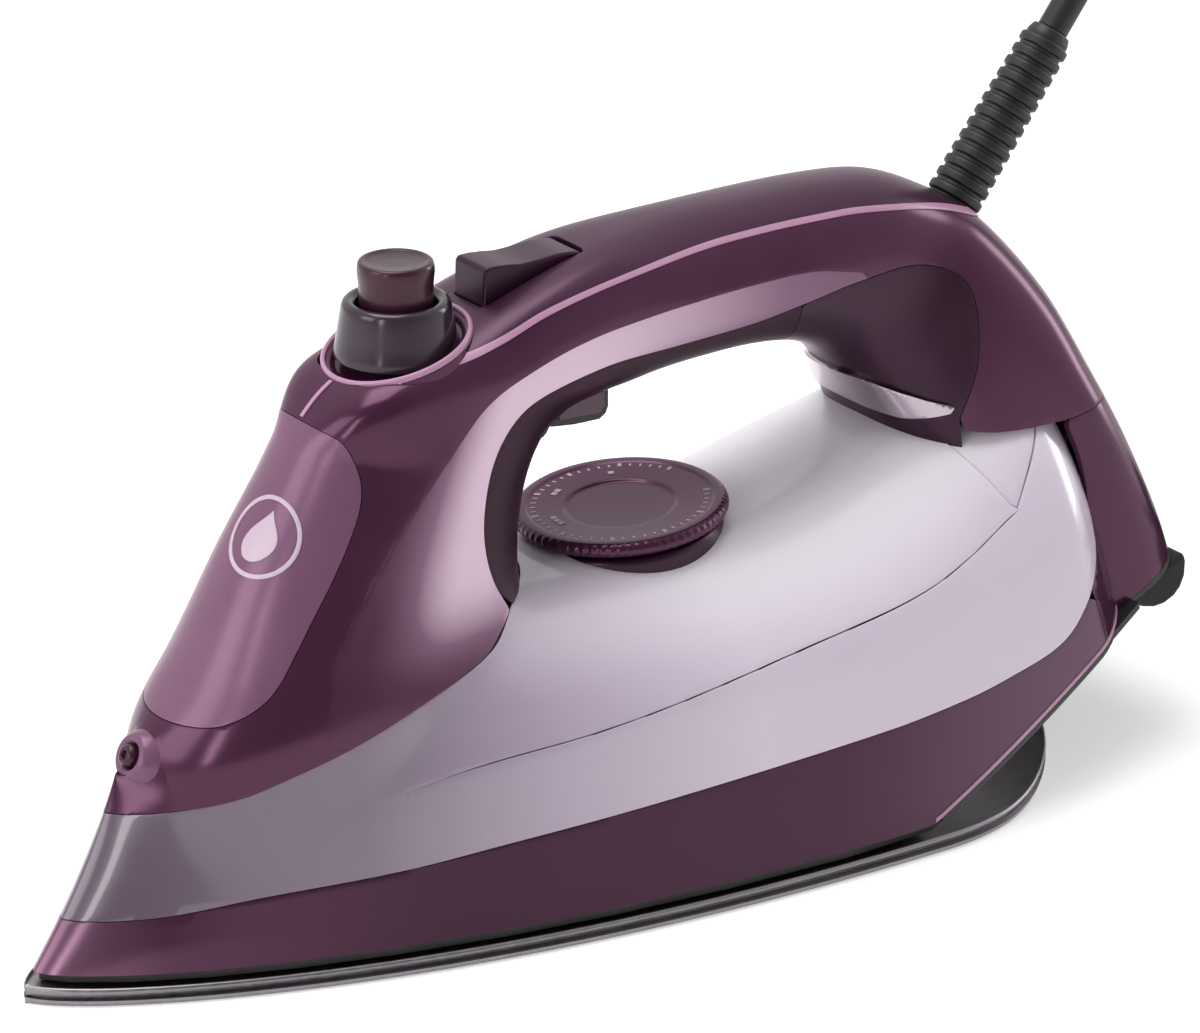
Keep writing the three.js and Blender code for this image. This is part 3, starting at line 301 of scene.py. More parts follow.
FINISHES = {
    "sole_metal": sole_metal, "cast_metal": cast_metal, "steel": spring_steel, "brass": plain_brass,
    "plum_gloss": plum_abs, "dark_plum": dark_plum_abs, "lavender_gloss": pearl_lavender,
    "clear_plum": plum_door, "soft_grip": soft_grip, "black_plastic": black_abs, "foot_rubber": foot_rubber,
    "smoke_plastic": smoke_abs, "hose_rubber": silicone_hose, "silver_gloss": tongue_silver,
    "white_plastic": white_nylon, "board": board_green, "cord_rubber": black_pvc,
}
SLOTS = {material: slot for slot, material in FINISHES.items()}
SLOTS.update({
    pale_plum_and_highlight: "lavender_gloss", emblem_print: "lavender_gloss", deep_plum_and_shade: "dark_plum",
    flare_highlight_paint: "plum_gloss", skirt_plum_painted_reflections: "plum_gloss", button_plum: "smoke_plastic",
    trigger_grey: "smoke_plastic",
})
for entry in frame["record"]["subparts"]:
    mesh = frame["nodes"][entry["node"]].data
    mesh.materials.clear()
    mesh.materials.append(FINISHES[entry["material_slot"]])


# ---- Curves and meshes ----
def through(pairs):
    """A smooth function through [x, y] pairs, which never swings past them."""
    x, y = np.array(pairs, float).T
    slopes = np.diff(y) / np.diff(x)
    tangents = np.concatenate([slopes[:1], np.zeros(len(x) - 2), slopes[-1:]])
    for k in range(1, len(x) - 1):
        before, after = slopes[k - 1], slopes[k]
        if before * after > 0:
            tangents[k] = 2 * before * after / (before + after)

    def value(at):
        at = np.asarray(at, float)
        k = np.clip(np.searchsorted(x, at) - 1, 0, len(x) - 2)
        width = x[k + 1] - x[k]
        t = np.clip((at - x[k]) / width, 0, 1)
        start = (1 + 2 * t) * (1 - t) ** 2 * y[k] + t * (1 - t) ** 2 * width * tangents[k]
        return start + t * t * (3 - 2 * t) * y[k + 1] + t * t * (t - 1) * width * tangents[k + 1]
    return value


def rows_along(rows, u):
    """Catmull-Rom through rows of numbers, at shares u of the way."""
    rows = np.array(rows, float)
    place_in = np.asarray(u) * (len(rows) - 1)
    k = np.minimum(place_in.astype(int), len(rows) - 2)
    t = (place_in - k)[..., None]
    before, a, b, after = (rows[np.clip(k + step, 0, len(rows) - 1)] for step in (-1, 0, 1, 2))
    leave, arrive = (b - before) / 2, (after - a) / 2
    cubic, square = 2 * a - 2 * b + leave + arrive, 3 * b - 3 * a - 2 * leave - arrive
    return cubic * t ** 3 + square * t ** 2 + leave * t + a


def flowing(points, step):
    """Points every step along a smooth curve through points (centripetal Catmull-Rom)."""
    points = [np.array(p, float) for p in points]
    points = [2 * points[0] - points[1]] + points + [2 * points[-1] - points[-2]]
    route = []
    for k in range(len(points) - 3):
        p = points[k:k + 4]
        spans = [math.sqrt(np.linalg.norm(b - a)) for a, b in zip(p, p[1:])]
        knot = np.cumsum([0] + spans)

        def between(low, high, a, b, t):
            return ((knot[high] - t) * a + (t - knot[low]) * b) / (knot[high] - knot[low])

        count = max(2, round(np.linalg.norm(p[2] - p[1]) / step))
        for t in np.linspace(knot[1], knot[2], count, endpoint=False):
            first = [between(i, i + 1, p[i], p[i + 1], t) for i in range(3)]
            second = [between(i, i + 2, first[i], first[i + 1], t) for i in range(2)]
            route.append(between(1, 2, second[0], second[1], t))
    return route + [points[-2]]


def piece(name, points, faces, material, body="iron", replaces=(), smooth=True):
    """A mesh object in metres that rides on a body and may stand for CAD nodes."""
    mesh = bpy.data.meshes.new(name)
    mesh.from_pydata([tuple(p) for p in points], [], [tuple(f) for f in faces])
    mesh.validate()
    mesh.polygons.foreach_set("use_smooth", [smooth] * len(mesh.polygons))
    mesh.materials.append(material)
    made = in_scene(name, mesh)
    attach(made, body)
    if replaces:
        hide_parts(*replaces)
    return made


def grid_faces(rows, columns, wrap=False):
    """The quads of a grid of points, closed round its columns if wrap is set."""
    last = columns if wrap else columns - 1
    return [(i * columns + j, (i + 1) * columns + j,
             (i + 1) * columns + (j + 1) % columns, i * columns + (j + 1) % columns)
            for i in range(rows - 1) for j in range(last)]


def closed_faces(rows, columns):
    """The faces of a grid that is closed round its columns and capped at both ends."""
    ends = [tuple(range(columns)), tuple(range((rows - 1) * columns, rows * columns))]
    return grid_faces(rows, columns, wrap=True) + ends


def tidy_mesh(made, sharp=35, weld=0.01, skin=False):
    """Welds points within some hundredths of a mm and keeps only edges over some degrees sharp. A solid
    is turned outward; an open skin loses its slivers and loose points."""
    work = bmesh.new()
    work.from_mesh(made.data)
    bmesh.ops.remove_doubles(work, verts=work.verts, dist=weld * MM)
    if skin:
        bmesh.ops.dissolve_degenerate(work, edges=work.edges, dist=weld * MM)
        bmesh.ops.delete(work, geom=[v for v in work.verts if not v.link_faces], context="VERTS")
    else:
        bmesh.ops.recalc_face_normals(work, faces=work.faces)
    work.to_mesh(made.data)
    work.free()
    made.data.set_sharp_from_angle(angle=math.radians(sharp))
    return made


def bevelled(made, width, segments=3, limit=35, harden=True):
    """Breaks the edges of a piece, as every moulded or machined edge is broken."""
    bevel = made.modifiers.new("broken edges", "BEVEL")
    bevel.width = width * MM
    bevel.segments = segments
    bevel.limit_method = "ANGLE"
    bevel.angle_limit = math.radians(limit)
    bevel.harden_normals = harden
    return made


def walled(made, thickness, edge, offset=-1, segments=3):
    """Gives a skin a wall, inward or shared out by offset, and a soft rim."""
    tidy_mesh(made, sharp=38, weld=0.03, skin=True)
    wall = made.modifiers.new("wall", "SOLIDIFY")
    wall.thickness = thickness * MM
    wall.offset = offset
    wall.use_even_offset = False
    bevelled(made, edge, segments, limit=50, harden=False)


def softened(profile, steps=4):
    """Rounds the corners of a profile of [radius, distance, rounding] points."""
    smooth = []
    for k, (radius, along, rounding) in enumerate(profile):
        corner = np.array([radius, along], float)
        if rounding == 0:
            smooth.append(corner)
            continue
        sides = []
        for step in (-1, 1):
            other = np.array(profile[(k + step) % len(profile)][:2], float)
            reach = np.linalg.norm(other - corner)
            sides.append(corner + (other - corner) * min(rounding / reach, 0.48))
        for t in np.linspace(0, 1, steps + 1):
            smooth.append((1 - t) ** 2 * sides[0] + 2 * t * (1 - t) * corner + t * t * sides[1])
    return smooth


def lathe(name, profile, foot, axis, material, sides=64, closed=False, **facts):
    """A turned piece: a profile of [radius, distance, rounding] in mm, about an axis from its foot."""
    outline = softened(profile)
    if closed:
        outline.append(outline[0])
    turn = upright.rotation_difference(axis).to_matrix()
    points = []
    for radius, along in outline:
        for k in range(sides):
            angle = 2 * math.pi * k / sides
            spoke = Vector((radius * math.cos(angle), radius * math.sin(angle), along)) * MM
            points.append(foot + turn @ spoke)
    made = piece(name, points, grid_faces(len(outline), sides, wrap=True), material, **facts)
    return tidy_mesh(made)


# ---- Cord ----
CORD = 7.5  # mm across
SLEEVE_FOOT = (252.6, 0, 133.4)  # station, side and height in mm
SLEEVE_ROOT = place(*SLEEVE_FOOT)
SLEEVE_AXIS = Vector((0.618, 0, 0.786)).normalized()
CORD_EXIT = SLEEVE_ROOT + SLEEVE_AXIS * 49.75 * MM
COIL_CENTRE = (250, -15)
ON_COIL = 28.7  # mm, height of the cord that lies on the coil
lead_points = [
    tuple(CORD_EXIT / MM), tuple((SLEEVE_ROOT + SLEEVE_AXIS * 65.4 * MM) / MM), (155, 0, 202), (174, 0, 214),
    (193, 1, 214), (208, 3, 200), (216, 6, 174), (219, 9, 140), (220, 12, 104), (220.5, 15, 70),
    (223.5, 18.5, 45), (232, 22, 31), (246, 25, ON_COIL),
]
PLUG_TIP = (242, -44, 41.45)
tail_points = [
    (296, -22, ON_COIL), (293.5, -36, ON_COIL + 1), (284, -50, ON_COIL + 5), (268, -60, ON_COIL + 9),
    (253, -62, PLUG_TIP[2] - 2), (244, -57, PLUG_TIP[2]), (242, -50, PLUG_TIP[2]), (242, -44.35, PLUG_TIP[2]),
]


def wound_turns():
    """The turns of the coil, each settling into its own place beside and on the others."""
    start, end = lead_points[-1], tail_points[0]
    inner, middle, outer = 33.5, 41, 48.5
    low, mid, high = 5.85, 13.35, 20.85
    cells = [(outer, high), (outer, mid), (outer, low), (middle, low), (inner, low), (inner, mid),
             (middle, mid), (middle, high)]

    def polar(x, y, z):
        dx, dy = x - COIL_CENTRE[0], y - COIL_CENTRE[1]
        return math.atan2(dy, dx), math.hypot(dx, dy), z

    first, first_radius, _ = polar(*start)
    last, last_radius, _ = polar(*end)
    sweep = 2 * math.pi * len(cells) + first - last
    share = sweep / len(cells)
    stations = [(0, first_radius, start[2])]
    for k, (radius, height) in enumerate(cells):
        stations += [((k + 0.09) * share, radius, height), ((k + 0.91) * share, radius, height)]
    stations.append((sweep, last_radius, end[2]))
    turned_by, radii, heights = np.array(stations).T
    radius_at = through(list(zip(turned_by, radii)))
    height_at = through(list(zip(turned_by, heights)))
    turns = []
    for angle in np.linspace(0, sweep, 44 * len(cells))[1:-1]:
        bearing = first - angle
        turns.append(np.array([COIL_CENTRE[0] + radius_at(angle) * math.cos(bearing),
                               COIL_CENTRE[1] + radius_at(angle) * math.sin(bearing), height_at(angle)]))
    return turns


cord_route = [Vector(p) * MM for p in flowing(lead_points, 6) + wound_turns() + flowing(tail_points, 5)]
cord_curve = bpy.data.curves.new("mains_cord", "CURVE")
cord_curve.dimensions = "3D"
cord_curve.bevel_depth = CORD / 2 * MM
cord_curve.bevel_resolution = 5
cord_curve.use_fill_caps = True
cord_spline = cord_curve.splines.new("POLY")
cord_spline.points.add(len(cord_route) - 1)
for point, where in zip(cord_spline.points, cord_route):
    point.co = (*where, 1)
cord_curve.materials.append(black_pvc)
mains_cord = in_scene("mains_cord", cord_curve)
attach(mains_cord, "iron")
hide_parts("cord", "cord_coil", "cord_tail")


# ---- The outer form ----
# The housing is a boat of rounded sections and the handle is a ring of rounded sections that stands
# on it. Points are [station, y, z] in mm; a skin adds each point's clearance to the other form.
HOUSING_BOTTOM = 7
DECK = 77.5
WIDEST = 215
ridge = through([
    (25, 49), (42, 60), (73, 67), (106, DECK - 4), (130, DECK - 1.5), (160, DECK), (185, DECK + 2),
    (200, DECK + 4.5), (215, DECK + 8.5), (230, DECK + 12.5), (245, DECK + 17), (266, DECK + 25),
])
crease = through([
    (60, 37), (96, 45.1), (124, 48.4), (177, 56.7), (208, 61.6), (228, 66.8), (245, 72.6), (262, 78),
])


def smoothstep(x, low, high):
    """0 up to low and 1 from high on, with an even rise between."""
    t = np.clip((np.asarray(x, float) - low) / (high - low), 0, 1)
    return t * t * (3 - 2 * t)


def signed_power(x, power):
    return np.sign(x) * np.abs(x) ** power


def depth_inside(outline):
    """How deep points lie inside a side-view outline, in mm; negative outside."""
    corners = np.array(outline, float)
    ends = np.roll(corners, -1, axis=0)

    def depth(points):
        x, z = points[..., 0], points[..., 2]
        nearest = np.full(x.shape, 1e9)
        inside = np.zeros(x.shape, bool)
        for (ax, az), (bx, bz) in zip(corners, ends):
            run = max((bx - ax) ** 2 + (bz - az) ** 2, 1e-12)
            t = np.clip(((x - ax) * (bx - ax) + (z - az) * (bz - az)) / run, 0, 1)
            nearest = np.minimum(nearest, np.hypot(x - ax - t * (bx - ax), z - az - t * (bz - az)))
            if az != bz:
                inside ^= ((az > z) != (bz > z)) & (x < ax + (z - az) * (bx - ax) / (bz - az))
        return np.where(inside, nearest, -nearest)
    return depth


CREASE_HEIGHT = 2.2  # mm, how far the crease of the panel stands out where it is strongest


def crease_rise(station, height):
    """How far the panel stands out at its crease, in mm: a sharp line that dies out both ways."""
    over = height - crease(station)
    below = np.clip(1 + over / 20, 0, 1) ** 2
    above = np.clip(1 - over / 30, 0, 1) ** 2
    strength = CREASE_HEIGHT * smoothstep(station, 70, 150) * (1 - smoothstep(station, 215, 246))
    return strength * np.where(over < 0, below, above)


def eased(line):
    """The same line as a smooth curve."""
    return [(p[0], p[1]) for p in flowing([(*point, 0) for point in line], 1.5)]


# The V of the panel under the rear column is let in a little, and the side of the handle has a crease
# above its lower edge, which widens into a flare at the front column.
vee_depth = depth_inside([(245, 72.5), (236, 86.8), (233, 94), (262, 94), (259, 87.3)])
flare_line = [
    (214, 132), (200, 135), (186, 135.2), (169, 134.6), (153, 133.3), (139, 131.9), (123.5, 128.4),
    (111.5, 123.5), (102.5, 115.5), (94.5, 107.5), (84, 96), (76.5, 86.5), (69.5, 77), (65, 66), (63, 55),
]
flare_depth = depth_inside(eased(flare_line) + [(170, 40), (240, 100)])


def housing_grid(along=190, around=120):
    """The housing as raked sections from the prow to the tail; each is an arch of points."""
    u, angle = np.meshgrid(np.linspace(0, 1, along), np.linspace(0, math.pi, around), indexing="ij")
    spread = u ** 1.6
    rise = np.abs(np.sin(angle)) ** (2 / 3.5)  # from 0 at the bottom to 1 on the ridge
    low, high = 2.5 + 293.5 * spread, 25 + 241 * spread  # stations of a section's bottom and its ridge
    prow = 2.5 + 22.5 * rise + 8 * rise * (1 - rise)
    station = low + (high - low) * rise + 8 * rise * (1 - rise) * (1 - u) ** 3
    height = HOUSING_BOTTOM + rise * (ridge(high) - HOUSING_BOTTOM)
    behind = np.clip((station - prow) / WIDEST, 0, 1)
    plan = 53.5 * np.sin(math.pi / 2 * behind ** 0.7)
    taper = 1 - 0.4 * (np.clip(station - 200, 0, None) / 108) ** 1.6
    corner = np.clip((u - 0.955) / 0.045, 0, 1)
    taper *= 1 - 0.5 * (1 - np.sqrt(1 - corner ** 2))
    side = signed_power(np.cos(angle), 2 / 2.3)
    relief = crease_rise(station, height)
    half = (plan * taper + relief * np.clip(plan / 20, 0, 1)) * side
    return np.stack([station, -half, height], -1)


# The ring, section by section: the station and height of its outer and inner edge, then its half-width.
RING = [
    (29, 34, 112, 34, 20), (34, 53, 124, 56, 28), (43.5, 70, 125.8, 72, 26), (54, 90, 127.2, 86, 22.5),
    (65, 107, 130, 98.5, 20.5), (74, 121, 135.2, 107.6, 19.5), (85, 129.5, 142, 112, 19.2),
    (104, 134.2, 149.5, 113.6, 19), (124, 141.6, 157, 113.8, 18.2), (145, 147.5, 166, 114.5, 17.5),
    (168, 150, 176, 115, 17.5), (192, 150.5, 190, 115, 17.5), (214, 150, 202, 113.5, 18),
    (231, 148, 211, 110, 18.5), (245, 142, 217, 104.5, 19), (257, 134, 222, 98, 22),
    (271, 117, 228, 88, 26.5), (282, 97, 236, 76, 30), (292, 78, 244, 64, 32), (301, 58, 252, 52, 33.5),
    (306, 43, 258, 42, 34), (308, 34, 262, 34, 34),
]
KNOB_ROW, REAR_ROW = 6.5, 15  # the rows of the ring under the knob and where the rear column begins


def ring_grid(along=300, around=112):
    """The handle as a ring of rounded sections, squarer in the rear column and flat under the knob."""
    u, angle = np.meshgrid(np.linspace(0, 1, along), np.linspace(0, 2 * math.pi, around, endpoint=False),
                           indexing="ij")
    rails = rows_along(RING, u)
    row = u * (len(RING) - 1)
    squarish = smoothstep(row, REAR_ROW - 2, REAR_ROW + 3)
    platform = smoothstep(row, KNOB_ROW - 2, KNOB_ROW - 0.5) - smoothstep(row, KNOB_ROW + 1, KNOB_ROW + 4)
    flat = platform * (np.cos(angle) > 0)
    c = signed_power(np.cos(angle), 2 / (2.3 + 1.6 * squarish + 3.2 * flat))
    station = (rails[..., 0] + rails[..., 2]) / 2 + (rails[..., 0] - rails[..., 2]) / 2 * c
    height = (rails[..., 1] + rails[..., 3]) / 2 + (rails[..., 1] - rails[..., 3]) / 2 * c
    to_crease = flare_depth(np.stack([station, row, height], -1))
    along_handle = smoothstep(row, 1.5, 4) * (1 - smoothstep(row, 11, 14)) * smoothstep(height, 62, 80)
    rise = 1.5 * along_handle * np.clip(1 - np.abs(to_crease) / 15, 0, 1) ** 1.6
    half = (rails[..., 4] + rise) * signed_power(np.sin(angle), 2 / (2.25 + 1.2 * squarish + 2.2 * flat))
    return np.stack([station, -half, height], -1)


class Skin:
    """A surface of faces over points that carry their clearance beside their place."""

    def __init__(self, points, faces):
        self.points, self.faces = points, faces

    def trimmed(self, keep):
        """The part where keep is above 0, cut cleanly along keep = 0."""
        values = keep(self.points)
        inside = values > 0
        points, faces, cuts, added = self.points, [], {}, []

        def crossing(a, b):
            key = (min(a, b), max(a, b))
            if key not in cuts:
                share = values[a] / (values[a] - values[b])
                added.append(points[a] + (points[b] - points[a]) * share)
                cuts[key] = len(points) + len(added) - 1
            return cuts[key]

        for face in self.faces:
            held = [inside[k] for k in face]
            if all(held):
                faces.append(face)
            elif any(held):
                loop = []
                for a, b in zip(face, (*face[1:], face[0])):
                    if inside[a]:
                        loop.append(a)
                    if inside[a] != inside[b]:
                        loop.append(crossing(a, b))
                faces.append(tuple(loop))
        return Skin(np.vstack([points, added]) if added else points, faces)


def closed_tree(grid, wrap):
    """A search tree of a form whose ends are closed by drawing their rims in to the middle plane."""
    rows, columns = grid.shape[:2]
    caps = [grid[:1].copy(), grid[-1:].copy()]
    for cap in caps:
        cap[..., 1] *= 0.001
    stack = np.concatenate([caps[0], grid, caps[1]])
    return BVHTree.FromPolygons(stack.reshape(-1, 3).tolist(), grid_faces(rows + 2, columns, wrap))


def outward_normals(grid, wrap):
    """The unit normals of a grid and whether its faces already look outward."""
    down = np.gradient(grid, axis=0)
    round_it = (np.roll(grid, -1, axis=1) - np.roll(grid, 1, axis=1)) if wrap else np.gradient(grid, axis=1)
    normals = np.cross(down, round_it)
    normals /= np.maximum(np.linalg.norm(normals, axis=-1, keepdims=True), 1e-9)
    outward = ((grid - grid.mean(axis=1, keepdims=True)) * normals).sum() > 0
    return (normals if outward else -normals), outward


def steadied(values):
    """A grid of clearances without lone points whose sign differs from that of their neighbours."""
    rows, columns = values.shape
    wider = np.pad(values, 2, mode="edge")
    middle = np.median([wider[i:i + rows, j:j + columns] for i in range(5) for j in range(5)], axis=0)
    return np.where(np.sign(values) == np.sign(middle), values, middle)


FILLET = 5.0  # mm, how softly the front column runs out into the body


def form_skin(grid, other, wrap):
    """A form's skin; its fourth column is the distance to the other form, negative inside it. Where the
    two meet at the front they rise together in a fillet."""
    rows, columns = grid.shape[:2]
    normals, outward = outward_normals(grid, wrap)
    above = Vector((150, 0, 1000))  # a point outside both forms
    near, normal, _, _ = other.find_nearest(above)
    turned = math.copysign(1, (above - near).dot(normal))
    points = grid.reshape(-1, 3).copy()
    clearances, facing = np.zeros(len(points)), np.zeros((len(points), 3))
    for k, point in enumerate(points):
        mirror = np.array([1, -1 if point[1] > 0 else 1, 1])
        near, normal, _, distance = other.find_nearest(Vector(point * mirror))
        facing[k] = np.array(normal) * mirror * turned
        clearances[k] = distance * math.copysign(1, (point - np.array(near) * mirror) @ facing[k])
    clearances = steadied(clearances.reshape(rows, columns)).ravel()
    for k, (clear, own, normal) in enumerate(zip(clearances, normals.reshape(-1, 3), facing)):
        point = points[k]
        if clear < 5 * FILLET and point[0] < 150:
            swell = (math.hypot(clear, FILLET) - clear) / 2 * (1 - smoothstep(point[0], 105, 140))
            swell *= smoothstep(point[0] + point[2], 58, 96) * (1 - smoothstep(clear, FILLET, 5 * FILLET))
            away = own + normal
            points[k] = point + away / max(np.linalg.norm(away), 1) * min(swell, 9)
    faces = grid_faces(rows, columns, wrap)
    if not outward:
        faces = [face[::-1] for face in faces]
    return Skin(np.column_stack([points, clearances]), faces)


housing_points, ring_points = housing_grid(), ring_grid()
housing_skin = form_skin(housing_points, closed_tree(ring_points, True), False)
ring_skin = form_skin(ring_points, closed_tree(housing_points, False), True)


# ---- The shells ----
# Side-view lines where the shells part, as [station, height] in mm.
belt_line = [
    (-6, 17.5), (12, 18), (28, 19.2), (48, 22), (81, 24.6), (100, 26.6), (129, 29), (163, 31.6), (208, 34.5),
    (234, 36.4), (256, 40.3), (264, 47.2), (270, 57), (271.5, 66), (270, 77), (266, 88),
]
heel_seam = [(265.5, 49), (268, 44), (270, 38), (272, 24)]
split_line = [(222, 92), (236, 90.5), (247, 88.5), (266, 88), (286, 90), (330, 96)]
column_line = [
    (10, 40), (23, 40.5), (31, 41.6), (43, 45), (55, 49.5), (74, 56), (86, 60.3), (107, 67.5), (117, 73.5),
    (125, 75.6), (135, 77),
]
stripe_line = [
    (64, 126.6), (76, 127.6), (83, 128.9), (90, 130.6), (98, 131.9), (107, 133.2), (116, 135.6),
    (127, 139.1), (140, 141.8), (154, 143.6), (171, 145), (188, 145.5), (204, 145.4), (217, 144.8),
    (232, 142.6), (246, 138.8), (262, 132),
]
door_line = [
    (28, 60.4), (37.5, 60.2), (42, 61), (49, 64.4), (54, 68.5), (59.5, 76), (64, 82.5), (69, 89.5), (75, 99),
    (78.4, 106), (79.2, 111), (78.4, 115.5), (76.6, 119.2), (74, 121), (68, 123.5),
]
column_foot = (115.5, 73)
grip_line = [
    (119, 71), (112, 78.6), (109, 91), (111, 104.6), (115, 113), (122, 119.7), (142, 124), (165, 124),
    (187, 125), (198, 127),
]
inner_line = [(198, 127), (214, 130), (232, 130), (243, 124), (244, 108), (238, 93)]
grip_end = (200, 100)
deck_gap = [(137, 90), (205, 94)]


HEEL_START, HEEL_SLOPE = 212, 0.45  # where the underside begins to rise, and how steeply


def underside(station):
    return HOUSING_BOTTOM + HEEL_SLOPE * np.clip(station - HEEL_START, 0, None)


def shell_piece(name, skins, outline, material, clear, cuts=(), wall=SHELL, edge=0.6, low=0.02, **facts):
    """A moulded shell: the stretches of the outer form inside an outline, at least clear mm off the other
    form and low mm above the underside, given a wall and soft rims."""
    zone = depth_inside(outline)
    points, faces = [], []
    for skin in skins:
        part = skin.trimmed(lambda p: zone(p) - SEAM / 2)
        part = part.trimmed(lambda p: p[:, 3] - clear)
        part = part.trimmed(lambda p: p[:, 2] - underside(p[:, 0]) - low)
        for cut in cuts:
            part = part.trimmed(cut)
        offset = len(points)
        points += [place(*p[:3]) for p in part.points]
        faces += [tuple(k + offset for k in face) for face in part.faces]
    walled(piece(name, points, faces, material, **facts), wall, edge)


belt_edge, column_edge, grip_edge = eased(belt_line), eased(column_line), eased(grip_line)
heel_edge, split_edge, inner_edge = eased(heel_seam), eased(split_line), eased(inner_line)
stripe_edge, door_edge = eased(stripe_line), eased(door_line)


def parted(edge, station):
    """An edge in two: up to a station, and from there on."""
    cut = next(k for k, (x, _) in enumerate(edge) if x >= station)
    return edge[:cut], edge[cut:]


belt_front, belt_rear = parted(belt_edge, heel_seam[0][0])
split_front, split_rear = parted(split_edge, belt_line[-1][0])
below, behind = -10, 330  # a height and a station well outside the iron

skirt_outline = belt_front + heel_edge + [(272, below), (-6, below)]
panel_outline = (belt_edge + parted(split_front, 238)[1][::-1] + [(238, 97), (205, 99)] + deck_gap[::-1]
                 + column_edge[::-1])
heel_outline = heel_edge[::-1] + belt_rear + split_rear + [(behind, 10)]
handle_outline = (parted(column_edge, 107)[0] + [column_foot] + parted(grip_edge, 112)[1][6:] + inner_edge
                  + parted(split_edge, 238)[1] + [(behind, 150)] + stripe_edge[::-1] + door_edge[::-1])
door_outline = door_edge + [(60, 126), (20, 126)]
cover_outline = stripe_edge + [(300, 160), (60, 175)]
grip_outline = [(117, 73.5)] + grip_edge[6:] + [grip_end] + deck_gap[::-1] + [(135, 77.5), (125, 75.6)]
inner_outline = inner_edge + [(239, 85), (222, 83), deck_gap[1], grip_end]

both = [housing_skin, ring_skin]
VEE_DEPTH = 0.5  # mm, how deep the V under the rear column lies
GROOVE = 0.2  # mm, width of the groove round the V
LEDGE = 0.25  # mm, how far the upper stretch of the panel lies behind the lower one along the crease


def panel_stretches():
    """The body panel's skin parted along its crease and round the V under the rear column: the upper
    stretch lies a little behind the lower one along the crease and the V lies deeper still."""
    def to_groove(points, way):
        line = crease(points[:, 0])
        half = 0.12 * smoothstep(points[:, 0], 78, 100) * (1 - smoothstep(points[:, 0], 243, 247))
        return way * (points[:, 2] - line) - half

    upper, lower = (
        housing_skin.trimmed(lambda p: to_groove(p, way)).trimmed(lambda p: -vee_depth(p) - GROOVE / 2)
        for way in (1, -1)
    )
    vee = housing_skin.trimmed(lambda p: vee_depth(p) - GROOVE / 2)
    station, height = upper.points[:, 0], upper.points[:, 2]
    reach = np.clip(1 - (height - crease(station)) / 14, 0, 1) ** 2 * smoothstep(station, 84, 112)
    reach *= 1 - smoothstep(station, 240, 247)
    upper.points[:, 1] -= np.sign(upper.points[:, 1]) * LEDGE * reach
    vee.points[:, 1] -= np.sign(vee.points[:, 1]) * VEE_DEPTH
    return [upper, lower, vee]


def from_axis(foot, axis, radius):
    """How far points lie outside a round hole about an axis, in mm."""
    foot, axis = np.array(foot, float), np.array(axis, float)

    def clearance(points):
        spoke = points[:, :3] - foot
        return np.linalg.norm(spoke - np.outer(spoke @ axis, axis), axis=1) - radius
    return clearance


def from_slot(middle, half_length, half_width):
    """How far points lie outside an oblong hole, in mm."""
    return lambda points: np.maximum(np.abs(points[:, 0] - middle) - half_length,
                                     np.abs(points[:, 1]) - half_width)


def above_only(height, hole):
    """The same hole, cut only above a height in mm."""
    return lambda points: np.where(points[:, 2] > height, hole(points), 1)


PLAY = 0.35  # mm, the gap round a lever in its opening
# Stations and heights of the controls, with the half-lengths and half-widths of the levers, in mm.
KNOB, KNOB_FOOT = 99.5, 133.6
BEZEL = (KNOB, 0, 133.4)
BEZEL_TILT, BEZEL_RADIUS = 16.5, 15.4
ROCKER, ROCKER_HALF, ROCKER_WIDE = 132, 13.5, 6
TRIGGER_WIDE = 7.5
DIAL, DIAL_FOOT = 160, 78.5
NOZZLE, NOZZLE_AXIS = (31, 0, 51), (-0.9, 0, 0.436)
bezel_axis, dial_axis = lean(BEZEL_TILT), lean(5)
knob_hole = from_axis(BEZEL, bezel_axis, BEZEL_RADIUS + 0.8)
rocker_hole = from_slot(ROCKER, ROCKER_HALF + PLAY, ROCKER_WIDE + PLAY)
trigger_hole = from_slot(140.4, 11.4, TRIGGER_WIDE + PLAY)
sleeve_hole = from_axis(SLEEVE_FOOT, SLEEVE_AXIS, 6)
nozzle_hole = from_axis(NOZZLE, NOZZLE_AXIS, 4.6)
spindle_hole = from_axis((DIAL, 0, DIAL_FOOT), dial_axis, 3.5)

# The skirt's colour carries painted reflections along its length.
shell_piece("skirt_moulding", [housing_skin], skirt_outline, skirt_plum_painted_reflections, 0, wall=3, edge=1.3,
            replaces=["skirt"])
shell_piece("body_panel_moulding", panel_stretches(), panel_outline, pearl_lavender, -6, edge=0.35,
            cuts=[above_only(60, spindle_hole)], replaces=["body_panel"])
shell_piece("heel_moulding", both, heel_outline, plum_abs, -0.6, edge=0.4, replaces=["heel_cover"])
shell_piece("handle_moulding", both, handle_outline, plum_abs, -0.6, edge=0.4,
            cuts=[nozzle_hole, lambda p: -flare_depth(p)], replaces=["handle_shell"])
# The band beside the grip is its own shell so that it can carry the painted highlight.
shell_piece("handle_flare_painted_highlight", both, handle_outline, flare_highlight_paint, -0.05, cuts=[flare_depth], edge=0.4)
shell_piece("filling_door_moulding", both, door_outline, plum_door, -0.05, body="filling_door",
            replaces=["fill_door"])
shell_piece("handle_top_moulding", [ring_skin], cover_outline, dark_plum_abs, 0,
            cuts=[above_only(121, knob_hole), above_only(125, rocker_hole), above_only(125, sleeve_hole)],
            replaces=["handle_top_cover"])
shell_piece("grip_moulding", [ring_skin], grip_outline, soft_grip, -1.5, cuts=[trigger_hole],
            replaces=["grip_lining"])
# The deep plum of the rear column's inner face is partly painted shade in the hollow behind the grip.
shell_piece("rear_inner_moulding", [ring_skin], inner_outline, deep_plum_and_shade, -1.5,
            replaces=["rear_inner_cover"])

